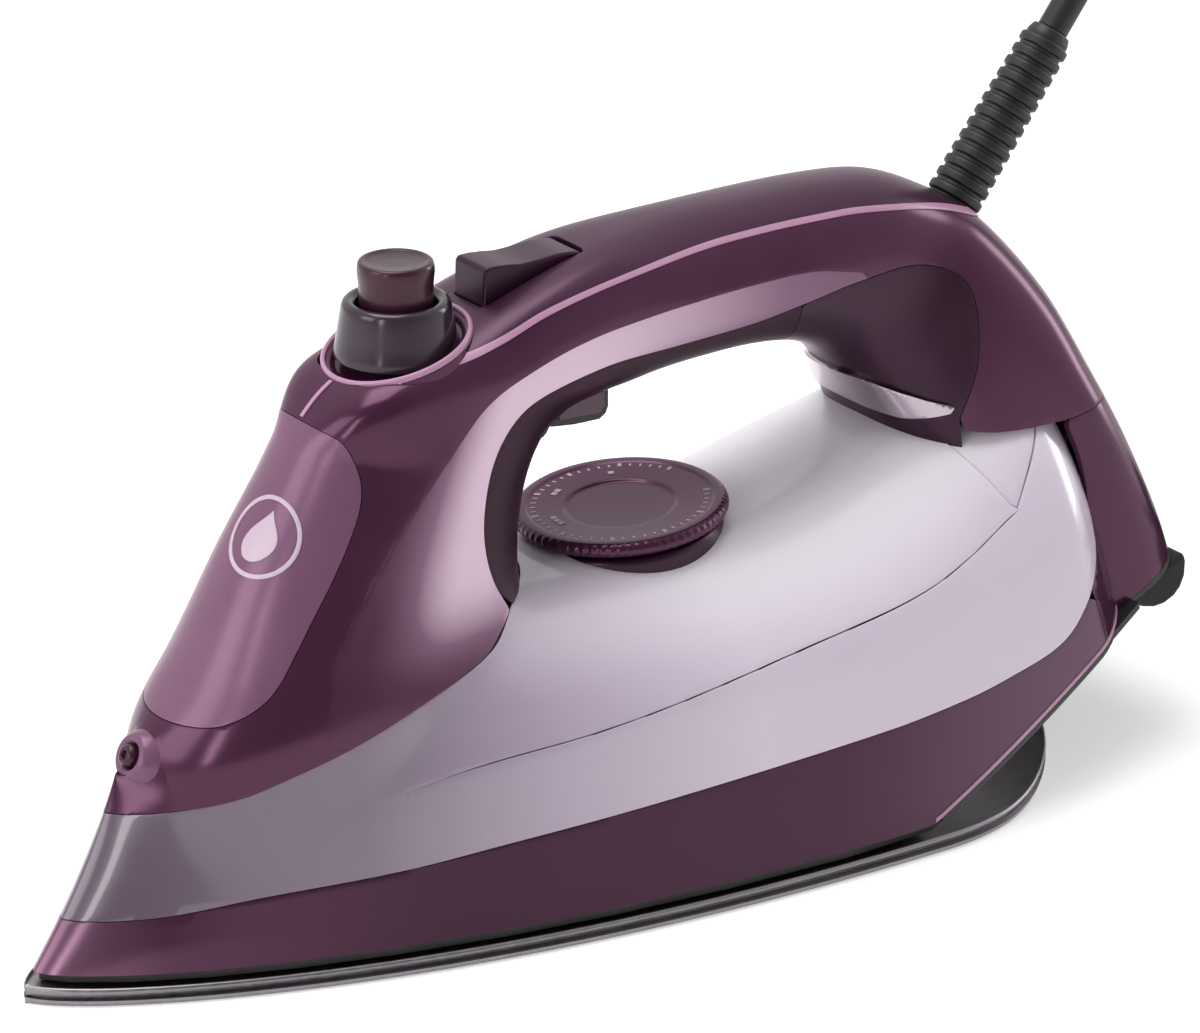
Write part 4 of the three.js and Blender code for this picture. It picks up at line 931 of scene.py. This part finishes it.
RIM = 1.6  # mm, height of the black rim that the base shows under the rear of the shells
rim_outline = [(214, below), (behind, below), (behind, 60), (214, 60)]
shell_piece("base_rim", both, rim_outline, black_abs, -0.6, wall=3, edge=0.3, low=-RIM,
            cuts=[lambda p: underside(p[:, 0]) - p[:, 2] - SEAM / 2])


# ---- Sole plate ----
SOLE_LENGTH, SOLE_THICK, SOLE_HALF = 272, 4.5, 55
TAIL_START, TAIL_LIFT = 232, 8
STEAM_HOLE = 3


def sole_half(station):
    """Half-width of the sole at a station."""
    if station > WIDEST:
        return SOLE_HALF * math.sqrt(max(0, 1 - ((station - WIDEST) / (SOLE_LENGTH - WIDEST)) ** 2))
    return SOLE_HALF * math.sin(math.pi / 2 * (station / WIDEST) ** 0.7)


def sole_plate(rows=130, turns=6, lower_edge=1.7, upper_edge=0.8):
    """The aluminium sole: rounded edges, a tail that curves up and two rows of steam holes each side."""
    points = []
    for k in range(rows + 1):
        station = SOLE_LENGTH * (0.5 - 0.5 * math.cos(math.pi * k / rows))
        half = max(sole_half(station), 0.02)
        lift = TAIL_LIFT * (max(0, station - TAIL_START) / (SOLE_LENGTH - TAIL_START)) ** 2
        side = []
        for edge, height, way in ((lower_edge, lower_edge, -1), (upper_edge, SOLE_THICK - upper_edge, 1)):
            arc = [math.pi / 2 * turn / turns for turn in range(turns + 1)][::-way]
            side += [(max(half - edge, 0) + min(half, edge) * math.cos(a), height + way * edge * math.sin(a))
                     for a in arc]
        side = [(0, 0)] + side + [(0, SOLE_THICK)]
        section = side + [(-y, z) for y, z in side[-2:0:-1]]
        points += [place(station, y, z + lift) for y, z in section]
    count = len(points) // (rows + 1)
    made = tidy_mesh(piece("sole_plate", points, closed_faces(rows + 1, count), sole_metal,
                           replaces=["soleplate"]))
    holes = bmesh.new()
    for inset, first, last, step in ((9, 40, 214, 21.5), (21, 84, 192, 26.5)):
        for station in np.arange(first, last, step):
            for side, _ in SIDES:
                where = place(station, side * (sole_half(station) - inset), SOLE_THICK / 2)
                bmesh.ops.create_cone(holes, cap_ends=True, segments=20, radius1=STEAM_HOLE / 2 * MM,
                                      radius2=STEAM_HOLE / 2 * MM, depth=2 * SOLE_THICK * MM,
                                      matrix=Matrix.Translation(where))
    drill_mesh = bpy.data.meshes.new("steam_holes")
    holes.to_mesh(drill_mesh)
    holes.free()
    drill = in_scene("steam_holes", drill_mesh)
    cut = made.modifiers.new("steam holes", "BOOLEAN")
    cut.object = drill
    cut.solver = "EXACT"
    drilled = made.evaluated_get(bpy.context.evaluated_depsgraph_get())
    whole, made.data = made.data, bpy.data.meshes.new_from_object(drilled)
    made.modifiers.clear()
    bpy.data.meshes.remove(whole)
    bpy.data.objects.remove(drill)
    made.data.set_sharp_from_angle(angle=math.radians(40))


sole_plate()


# ---- Inlays that follow the shells ----
LET_IN = 0.4  # mm, how deep an inlay sits in its shell


def inlay(name, skin, bounds, material, proud, edge=0.12, **facts):
    """A thin raised piece on the outer form, inside every one of its bounds."""
    part = skin
    for bound in bounds:
        part = part.trimmed(bound)
    made = piece(name, [place(*p[:3]) for p in part.points], part.faces, material, **facts)
    walled(made, proud + LET_IN, edge, offset=proud / (proud + LET_IN) * 2 - 1, segments=2)


BEAD = 1.1  # mm, width of the pale lines beside the top cover and down to the door
above_stripe = depth_inside(cover_outline)
clear_of_housing = lambda points: points[:, 3]
inlay("handle_bead", ring_skin, [
    lambda p: above_stripe(p) + BEAD / 2, lambda p: BEAD / 2 - above_stripe(p), clear_of_housing,
    lambda p: p[:, 0] - KNOB + 9, from_axis(BEZEL, bezel_axis, BEZEL_RADIUS + 1.6),
], pale_plum_and_highlight, 0.3)
inlay("door_bead", ring_skin, [
    lambda p: p[:, 1] + BEAD / 2, lambda p: BEAD / 2 - p[:, 1], lambda p: -BEAD / 2 - above_stripe(p),
    lambda p: p[:, 2] - 121.6, lambda p: 90 - p[:, 0],
], pale_plum_and_highlight, 0.3)
# A pale bead along the lower edge of the rear of the skirt and heel is a painted highlight where that edge
# would catch the light.
inlay("heel_edge_painted_highlight", housing_skin, [
    lambda p: p[:, 2] - underside(p[:, 0]) - 0.3, lambda p: underside(p[:, 0]) + 1.4 - p[:, 2],
    lambda p: p[:, 0] - HEEL_START, lambda p: 292 - p[:, 0], clear_of_housing,
], pale_plum_and_highlight, 0.25)

EMBLEM = np.array([60.3, -5.5, 98.4])  # the middle of the plain mark on the door


def from_emblem(points):
    """How far points lie from the middle of the mark, in mm."""
    return np.linalg.norm(points[:, :3] - EMBLEM, axis=1)


front = lambda points: 75 - points[:, 0]  # the mark lies on the front of the ring only


def in_drop(points):
    """How far points lie inside a water drop drawn at the middle of the mark, in mm."""
    up = (points[:, 2] - EMBLEM[2]) / 0.86 + 1.6
    across = np.abs(points[:, 1] - EMBLEM[1])
    tip = 4.2 * np.cos(math.pi / 2 * np.clip(up / 8, 0, 1)) ** 1.4
    return np.where(up < 0, 4.2 - np.hypot(across, up), np.where(up < 8, tip - across, -1))


inlay("door_mark_ring", ring_skin, [front, lambda p: 9.5 - from_emblem(p), lambda p: from_emblem(p) - 8.5],
      emblem_print, 0.25, body="filling_door")
inlay("door_mark_drop", ring_skin, [front, in_drop], emblem_print, 0.25, body="filling_door")

tongue_outline = [
    (206, 107), (214, 105), (220, 103), (227, 99.8), (232, 97.8), (236, 96.6), (237.2, 95.6), (236, 94.7),
    (232, 93.8), (228, 93.2), (225, 94), (221, 95.6), (215, 97.6), (206, 100),
]
tongue_depth = depth_inside(tongue_outline)
inlay("status_tongue", ring_skin, [tongue_depth, lambda p: 245 - p[:, 0], lambda p: p[:, 0] - 211.5],
      tongue_silver, 1.0, edge=0.7, replaces=["status_lens"])


# ---- Springs ----
RINGS_A_TURN = 24


def coil_spring(name, node, wire, turns, body, around=10):
    """A compression spring in the place of a rigid one: round wire wound about the middle of the node's box,
    from its bottom to its top."""
    low, high = (Vector(corner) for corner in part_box(node))
    middle, length = (low + high) / 2, high.z - low.z
    half = wire / 2 * MM
    radius = (high.x - low.x) / 2 - half
    points, rows = [], turns * RINGS_A_TURN + 1
    for k in range(rows):
        turn = 2 * math.pi * turns * k / (rows - 1)
        outward = Vector((math.cos(turn), math.sin(turn), 0))
        height = low.z + half + (length - 2 * half) * k / (rows - 1)
        centre = Vector((middle.x, middle.y, height)) + radius * outward
        for j in range(around):
            angle = 2 * math.pi * j / around
            points.append(centre + half * (math.cos(angle) * outward + math.sin(angle) * upright))
    made = piece(name, points, closed_faces(rows, around), spring_steel, body=body, replaces=[node])
    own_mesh(made)


coil_spring("jet_return_coil", "jet_spring", 1.0, 3, "steam_knob")
coil_spring("steam_pump_coil", "steam_pump_spring", 1.0, 4, "iron")
coil_spring("spray_pump_coil", "trigger_spring", 0.8, 4, "iron")


# ---- Knob, rocker, trigger and dial ----
knob_foot = place(KNOB, 0, KNOB_FOOT)
# The ring's pale colour is partly a painted highlight round the foot of the knob.
lathe("knob_ring", [
    (16.2, -0.4, 0), (17.4, -0.4, 0), (17.4, 0.5, 0.5), (16.8, 1.0, 0.4), (16.2, 0.5, 0.3),
], place(*BEZEL), bezel_axis, pale_plum_and_highlight, closed=True, replaces=["knob_bezel"])
lathe("knob_seat", [
    (0, -4.4, 0), (17.5, -4.4, 0), (17.5, -0.4, 0.3), (16.3, -0.1, 0.2), (15.4, -0.5, 0.3), (14.9, -1.1, 0.4),
    (14.6, -1.7, 0.3), (0, -1.7, 0),
], place(*BEZEL), bezel_axis, plum_abs)
lathe("steam_knob_collar", [
    (0, 2.4, 0), (9.05, 2.4, 0), (9.05, 4.9, 0), (9.05, 9.6, 0.6), (10.2, 10.5, 0.4), (11.2, 10.5, 0.7),
    (12.1, 9.7, 0.8), (12.7, 6.4, 3), (13.5, 1.4, 1.6), (14, -1, 0.5), (14, -2.4, 0.2),
    (12.5, -2.6, 0), (0, -2.6, 0),
], knob_foot, upright, smoke_abs, body="steam_knob", replaces=["steam_regulator"])
lathe("jet_cap", [
    (0, 8.4, 0), (8.3, 8.4, 0.4), (8.3, 13.5, 1), (8.7, 17.2, 1.2), (8.4, 19.1, 0.7), (7.4, 19.4, 0.8),
    (6.4, 18.9, 0.8), (3, 18.6, 1), (0, 18.6, 0),
], knob_foot, upright, button_plum, body="jet", replaces=["jet_button"])


def side_piece(name, outline, half, material, soft, middle=0, **facts):
    """A piece from a side-view outline, run across the iron by half its width each way."""
    points = [place(x, middle + y, z) for y in (-half, half) for x, z in outline]
    made = tidy_mesh(piece(name, points, closed_faces(2, len(outline)), material, **facts), sharp=30)
    bevelled(made, soft)


rocker_top = eased([(119.6, 148.4), (124, 148.3), (129, 147.6), (134, 147.7), (140, 148), (144.6, 147.4)])
rocker_side = [(118.5, 136.6), (118.9, 147.4)] + rocker_top[::2]
rocker_side += [(145.5, 146.4), (145.5, 138), (140.5, 136.4)]
side_piece("shot_rocker_cap", rocker_side, ROCKER_WIDE, deep_plum_and_shade, soft=0.7, body="shot_rocker",
           replaces=["steam_shot_button"])
trigger_side = [
    (134.6, 108.8), (135.6, 107.8), (142, 107.0), (149, 106.8), (150.8, 107.8), (151.5, 109.5),
    (151.5, 115.5), (142, 117), (134.6, 116),
]
side_piece("spray_trigger_frame", trigger_side, TRIGGER_WIDE, black_abs, soft=0.7, body="trigger",
           replaces=["spray_trigger"])
trigger_pad = [(137.6, 109.2), (148.6, 108.6), (149.9, 110), (149.9, 113.6), (141.5, 114.6), (137.2, 112)]
for side, name in SIDES:
    side_piece(f"trigger_pad_{name}", trigger_pad, 0.35, trigger_grey, soft=0.2,
               middle=side * (TRIGGER_WIDE + 0.1), body="trigger")


dial_foot = place(DIAL, 0, DIAL_FOOT)
FLUTES, FLUTE_DEPTH, FLUTED_FROM = 72, 0.3, 23.9  # how many, how deep and from which radius
TICKS, FIRST_TICK, TICK_STEP = 46, 20, 7  # how many, and the angles in degrees


def fluted_dial():
    """The temperature dial: a flat cap with a finely fluted rim and a shallow dished face."""
    made = lathe("dial_cap", [
        (0, 0.1, 0), (22.8, 0.1, 0), (24.4, 0.9, 0.8), (25, 1.6, 0.6), (24.9, 3.0, 0.8), (23.8, 4, 0.7),
        (21.8, 4, 0.4), (21.2, 3.6, 0.3), (13.2, 3.3, 0.5), (12.4, 2.7, 0.5), (0, 2.7, 0),
    ], dial_foot, dial_axis, plum_abs, sides=288, body="dial", replaces=["temperature_dial"])
    for vertex in made.data.vertices:
        spoke = vertex.co - dial_foot
        spoke -= dial_axis * spoke.dot(dial_axis)
        if spoke.length > FLUTED_FROM * MM:
            groove = (0.5 - 0.5 * math.cos(FLUTES * math.atan2(spoke.y, spoke.x))) ** 2
            vertex.co -= spoke.normalized() * FLUTE_DEPTH * MM * groove


fluted_dial()
dial_turn = upright.rotation_difference(dial_axis).to_matrix()


def on_dial(radius, angle, height):
    """A point over the dial's foot, from a radius and a height in mm."""
    spoke = Vector((radius * math.cos(angle), radius * math.sin(angle), height)) * MM
    return dial_foot + dial_turn @ spoke


def dial_marks():
    """Plain marks printed on the dial: a broken ring of ticks and sets of one, two and three bars."""
    points, faces = [], []

    def bar(angle, inner, outer, wide, height):
        start = len(points)
        for level in (height, height - 0.3):
            for radius, turn in ((inner, -1), (outer, -1), (outer, 1), (inner, 1)):
                points.append(on_dial(radius, angle + turn * wide / radius / 2, level))
        faces.extend(tuple(start + k for k in face) for face in closed_faces(2, 4))

    for k in range(TICKS):
        outer, wide = (20.6, 0.5) if k % 5 else (21, 0.9)
        bar(math.radians(FIRST_TICK + TICK_STEP * k), 19.4, outer, wide, 3.64)
    for k, bars in ((6, 1), (14, 2), (22, 3)):
        for one in range(bars):
            angle = math.radians(FIRST_TICK + TICK_STEP * k) + (one - (bars - 1) / 2) * 0.11
            bar(angle, 15.8, 17.2, 1.4, 3.58)
    tidy_mesh(piece("dial_marks", points, faces, emblem_print, body="dial", smooth=False))


dial_marks()
# The dark plinth under the dial is a painted shadow of the dial on the deck.
lathe("dial_plinth_painted_shadow", [
    (23.4, -7, 0), (23.4, -1.2, 1.6), (22.2, -0.45, 0.3), (3.6, -0.45, 0), (3.6, -7, 0),
], dial_foot, dial_axis, deep_plum_and_shade, closed=True)


# ---- Sleeve, nozzle, feet and plug ----
def ribbed_sleeve():
    """The strain relief: a seat, a stack of ribs that grow thinner and a lip round the cord."""
    ribs, start, end = 13, 3.4, 47.4
    pitch = (end - start) / ribs
    first, last = 6.8, 6  # radius of the ribs at both ends
    profile = [(0, -6, 0), (8, -6, 0), (8, -1.2, 0.6), (6.9, 0.8, 0.6), (6.9, start - 0.8, 0.4),
               (6, start - 0.4, 0)]
    for k in range(ribs):
        radius = first + (last - first) * k / ribs
        foot = start + k * pitch
        profile += [(radius - 0.8, foot, 0), (radius, foot + 0.12 * pitch, 0.4),
                    (radius, foot + 0.66 * pitch, 0.4), (radius - 0.8, foot + 0.78 * pitch, 0)]
    profile += [(5.3, end, 0.3), (4.7, end + 2, 0.6), (3.9, end + 2, 0), (0, end + 2, 0)]
    lathe("strain_relief_sleeve", profile, SLEEVE_ROOT, SLEEVE_AXIS, black_pvc, sides=48,
          replaces=["cord_sleeve"])


ribbed_sleeve()
nozzle_axis = Vector(NOZZLE_AXIS).normalized()
nozzle_foot = place(*NOZZLE) + nozzle_axis * 2.2 * MM
lathe("nozzle_boss", [
    (2.9, -4, 0), (7.2, -4, 0), (6.6, -1.4, 2), (4.9, 1.0, 1.2), (3.6, 1.0, 0.5), (2.9, 0.2, 0.3),
], nozzle_foot, nozzle_axis, plum_door, closed=True, replaces=["spray_nozzle_bezel"])
lathe("nozzle_tip", [
    (0, -4, 0), (2.6, -4, 0), (2.6, 1.6, 0.6), (1.9, 2.3, 0.4), (1.1, 2.3, 0.2), (0.8, 1.5, 0), (0, 1.5, 0),
], nozzle_foot, nozzle_axis, button_plum, sides=40, replaces=["spray_nozzle"])
foot_side = eased([
    (287.4, 39.1), (288.6, 35.8), (292, 34.3), (296.6, 33.5), (301.2, 35), (303.8, 38), (304.6, 41.5),
    (304.2, 45), (303.2, 46.9),
])
for side, name in SIDES:
    side_piece(f"heel_foot_moulding_{name}", foot_side[::2], 7.5, foot_rubber, soft=1.4,
               middle=side * 23.5, replaces=[f"heel_foot_{name}"])


PLUG_WAY = Vector((0, 1, 0))
plug_end = Vector(PLUG_TIP) * MM
plug_pieces = [lathe("plug_moulding", [
    (0, 0, 0), (4.6, 0, 0.5), (4.8, 2, 0), (4.1, 2.6, 0), (4.1, 3.4, 0), (5, 4, 0), (5.1, 5.6, 0),
    (4.4, 6.2, 0), (4.4, 7, 0), (5.3, 7.6, 0), (5.4, 12, 0.5), (13.5, 15, 3), (16.5, 24, 5), (16.5, 46, 2),
    (14.5, 48, 0.8), (0, 48, 0),
], plug_end, PLUG_WAY, black_pvc, replaces=["plug_body"])]
for side, name in SIDES:
    plug_pieces.append(lathe(f"plug_contact_{name}", [(0, 0, 0), (2.4, 0, 0), (2.4, 29, 1.8), (0, 29, 0)],
                             plug_end + Vector((side * 9.5, 38.3, 0)) * MM, PLUG_WAY, plain_brass, sides=40,
                             replaces=[f"plug_pin_{name}"]))


def cord_strap(turn_radius=41, thick=1.4, wide=9, bearing=math.radians(205), steps=72):
    """The strap that holds the coil: a flat band bent round all its turns."""
    low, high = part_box("cord_tie")
    half = (high[2] - low[2]) / 2 / MM
    outward = Vector((math.cos(bearing), math.sin(bearing), 0))
    along = Vector((-outward.y, outward.x, 0))
    middle = Vector((*COIL_CENTRE, (high[2] + low[2]) / 2 / MM)) + outward * turn_radius
    points = []
    for k in range(steps):
        angle = 2 * math.pi * k / steps
        out, up = (float(signed_power(share, 2 / 7)) for share in (math.cos(angle), math.sin(angle)))
        bend = outward * out + upright * up
        for reach, side in ((half, -1), (half, 1), (half - thick, 1), (half - thick, -1)):
            points.append((middle + bend * reach + along * side * wide / 2) * MM)
    faces = [tuple(k % len(points) for k in face) for face in grid_faces(steps + 1, 4, wrap=True)]
    strap = tidy_mesh(piece("cord_strap", points, faces, black_abs, replaces=["cord_tie"]))
    return bevelled(strap, 0.3, segments=2)


# ---- Floor, light and the end ----
FLOOR_LIFT = 0.42  # how much of the floor's white is its own for the eye, so that it stays white
FILL = 0.38  # strength of the room's even light
DIM_ROOM = 0.22  # how bright the room behind the camera looks in a gloss surface
LIT_POINT = Vector((0, 0, 0.08))  # what the lamps are turned to


def seen_directly(material):
    """1 for the rays that look at a surface straight or in a reflection, 0 for the light it gives."""
    rays = add(material, "ShaderNodeLightPath")
    gloss = add(material, "ShaderNodeMath", {0: rays.outputs["Is Glossy Ray"],
                                             1: rays.outputs["Is Transmission Ray"]}, operation="MAXIMUM")
    return add(material, "ShaderNodeMath", {0: rays.outputs["Is Camera Ray"], 1: gloss.outputs[0]},
               operation="MAXIMUM").outputs[0]


def studio():
    """A white sweep and three soft lamps in a room that is white before the camera and dim behind it."""
    mesh = bpy.data.meshes.new("studio_floor")
    reach = 6
    mesh.from_pydata([(-reach, -reach, 0), (reach, -reach, 0), (reach, reach, 0), (-reach, reach, 0)], [],
                     [(0, 1, 2, 3)])
    floor = in_scene("studio_floor", mesh)
    material, shader = finish("white_sweep", Roughness=0.9, Specular_IOR_Level=0.0)
    shader.inputs["Base Color"].default_value = linear("#f4f4f4")
    shader.inputs["Emission Color"].default_value = (1, 1, 1, 1)
    own = add(material, "ShaderNodeMath", {0: seen_directly(material), 1: FLOOR_LIFT}, operation="MULTIPLY")
    connect(material, own.outputs[0], shader, "Emission Strength")
    mesh.materials.append(material)
    world = bpy.data.worlds.new("studio")
    bpy.context.scene.world = world
    world.use_nodes = True
    towards = add(world, "ShaderNodeTexCoord")
    facing = add(world, "ShaderNodeVectorMath", {0: towards.outputs["Generated"], 1: back},
                 operation="DOT_PRODUCT")
    white = add(world, "ShaderNodeMapRange", {
        "Value": facing.outputs["Value"], "From Min": 0.1, "From Max": 0.85,
        "To Min": 1.0, "To Max": DIM_ROOM})
    strength = add(world, "ShaderNodeMapRange", {
        "Value": seen_directly(world), "To Min": FILL, "To Max": white.outputs["Result"]})
    backdrop = world.node_tree.nodes["Background"]
    backdrop.inputs["Color"].default_value = (1, 1, 1, 1)
    world.node_tree.links.new(strength.outputs["Result"], backdrop.inputs["Strength"])
    for name, where, width, height, power in (
        ("overhead_lamp", (-0.3, 0.3, 2.1), 1.6, 1.2, 28), ("nose_lamp", (-2.0, 0.2, 0.9), 1.0, 1.2, 13),
        ("heel_lamp", (1.9, -0.25, 0.5), 0.4, 1.1, 8), ("nose_edge_lamp", (-1.75, -0.85, 0.62), 0.2, 0.9, 5),
    ):
        lamp = bpy.data.lights.new(name, "AREA")
        lamp.shape = "RECTANGLE"
        lamp.size, lamp.size_y = width, height
        lamp.energy = power
        light = in_scene(name, lamp)
        light.location = where
        light.rotation_euler = (Vector(where) - LIT_POINT).to_track_quat("Z", "Y").to_euler()


studio()
cord_strap()
bpy.context.scene.view_settings.view_transform = "Standard"
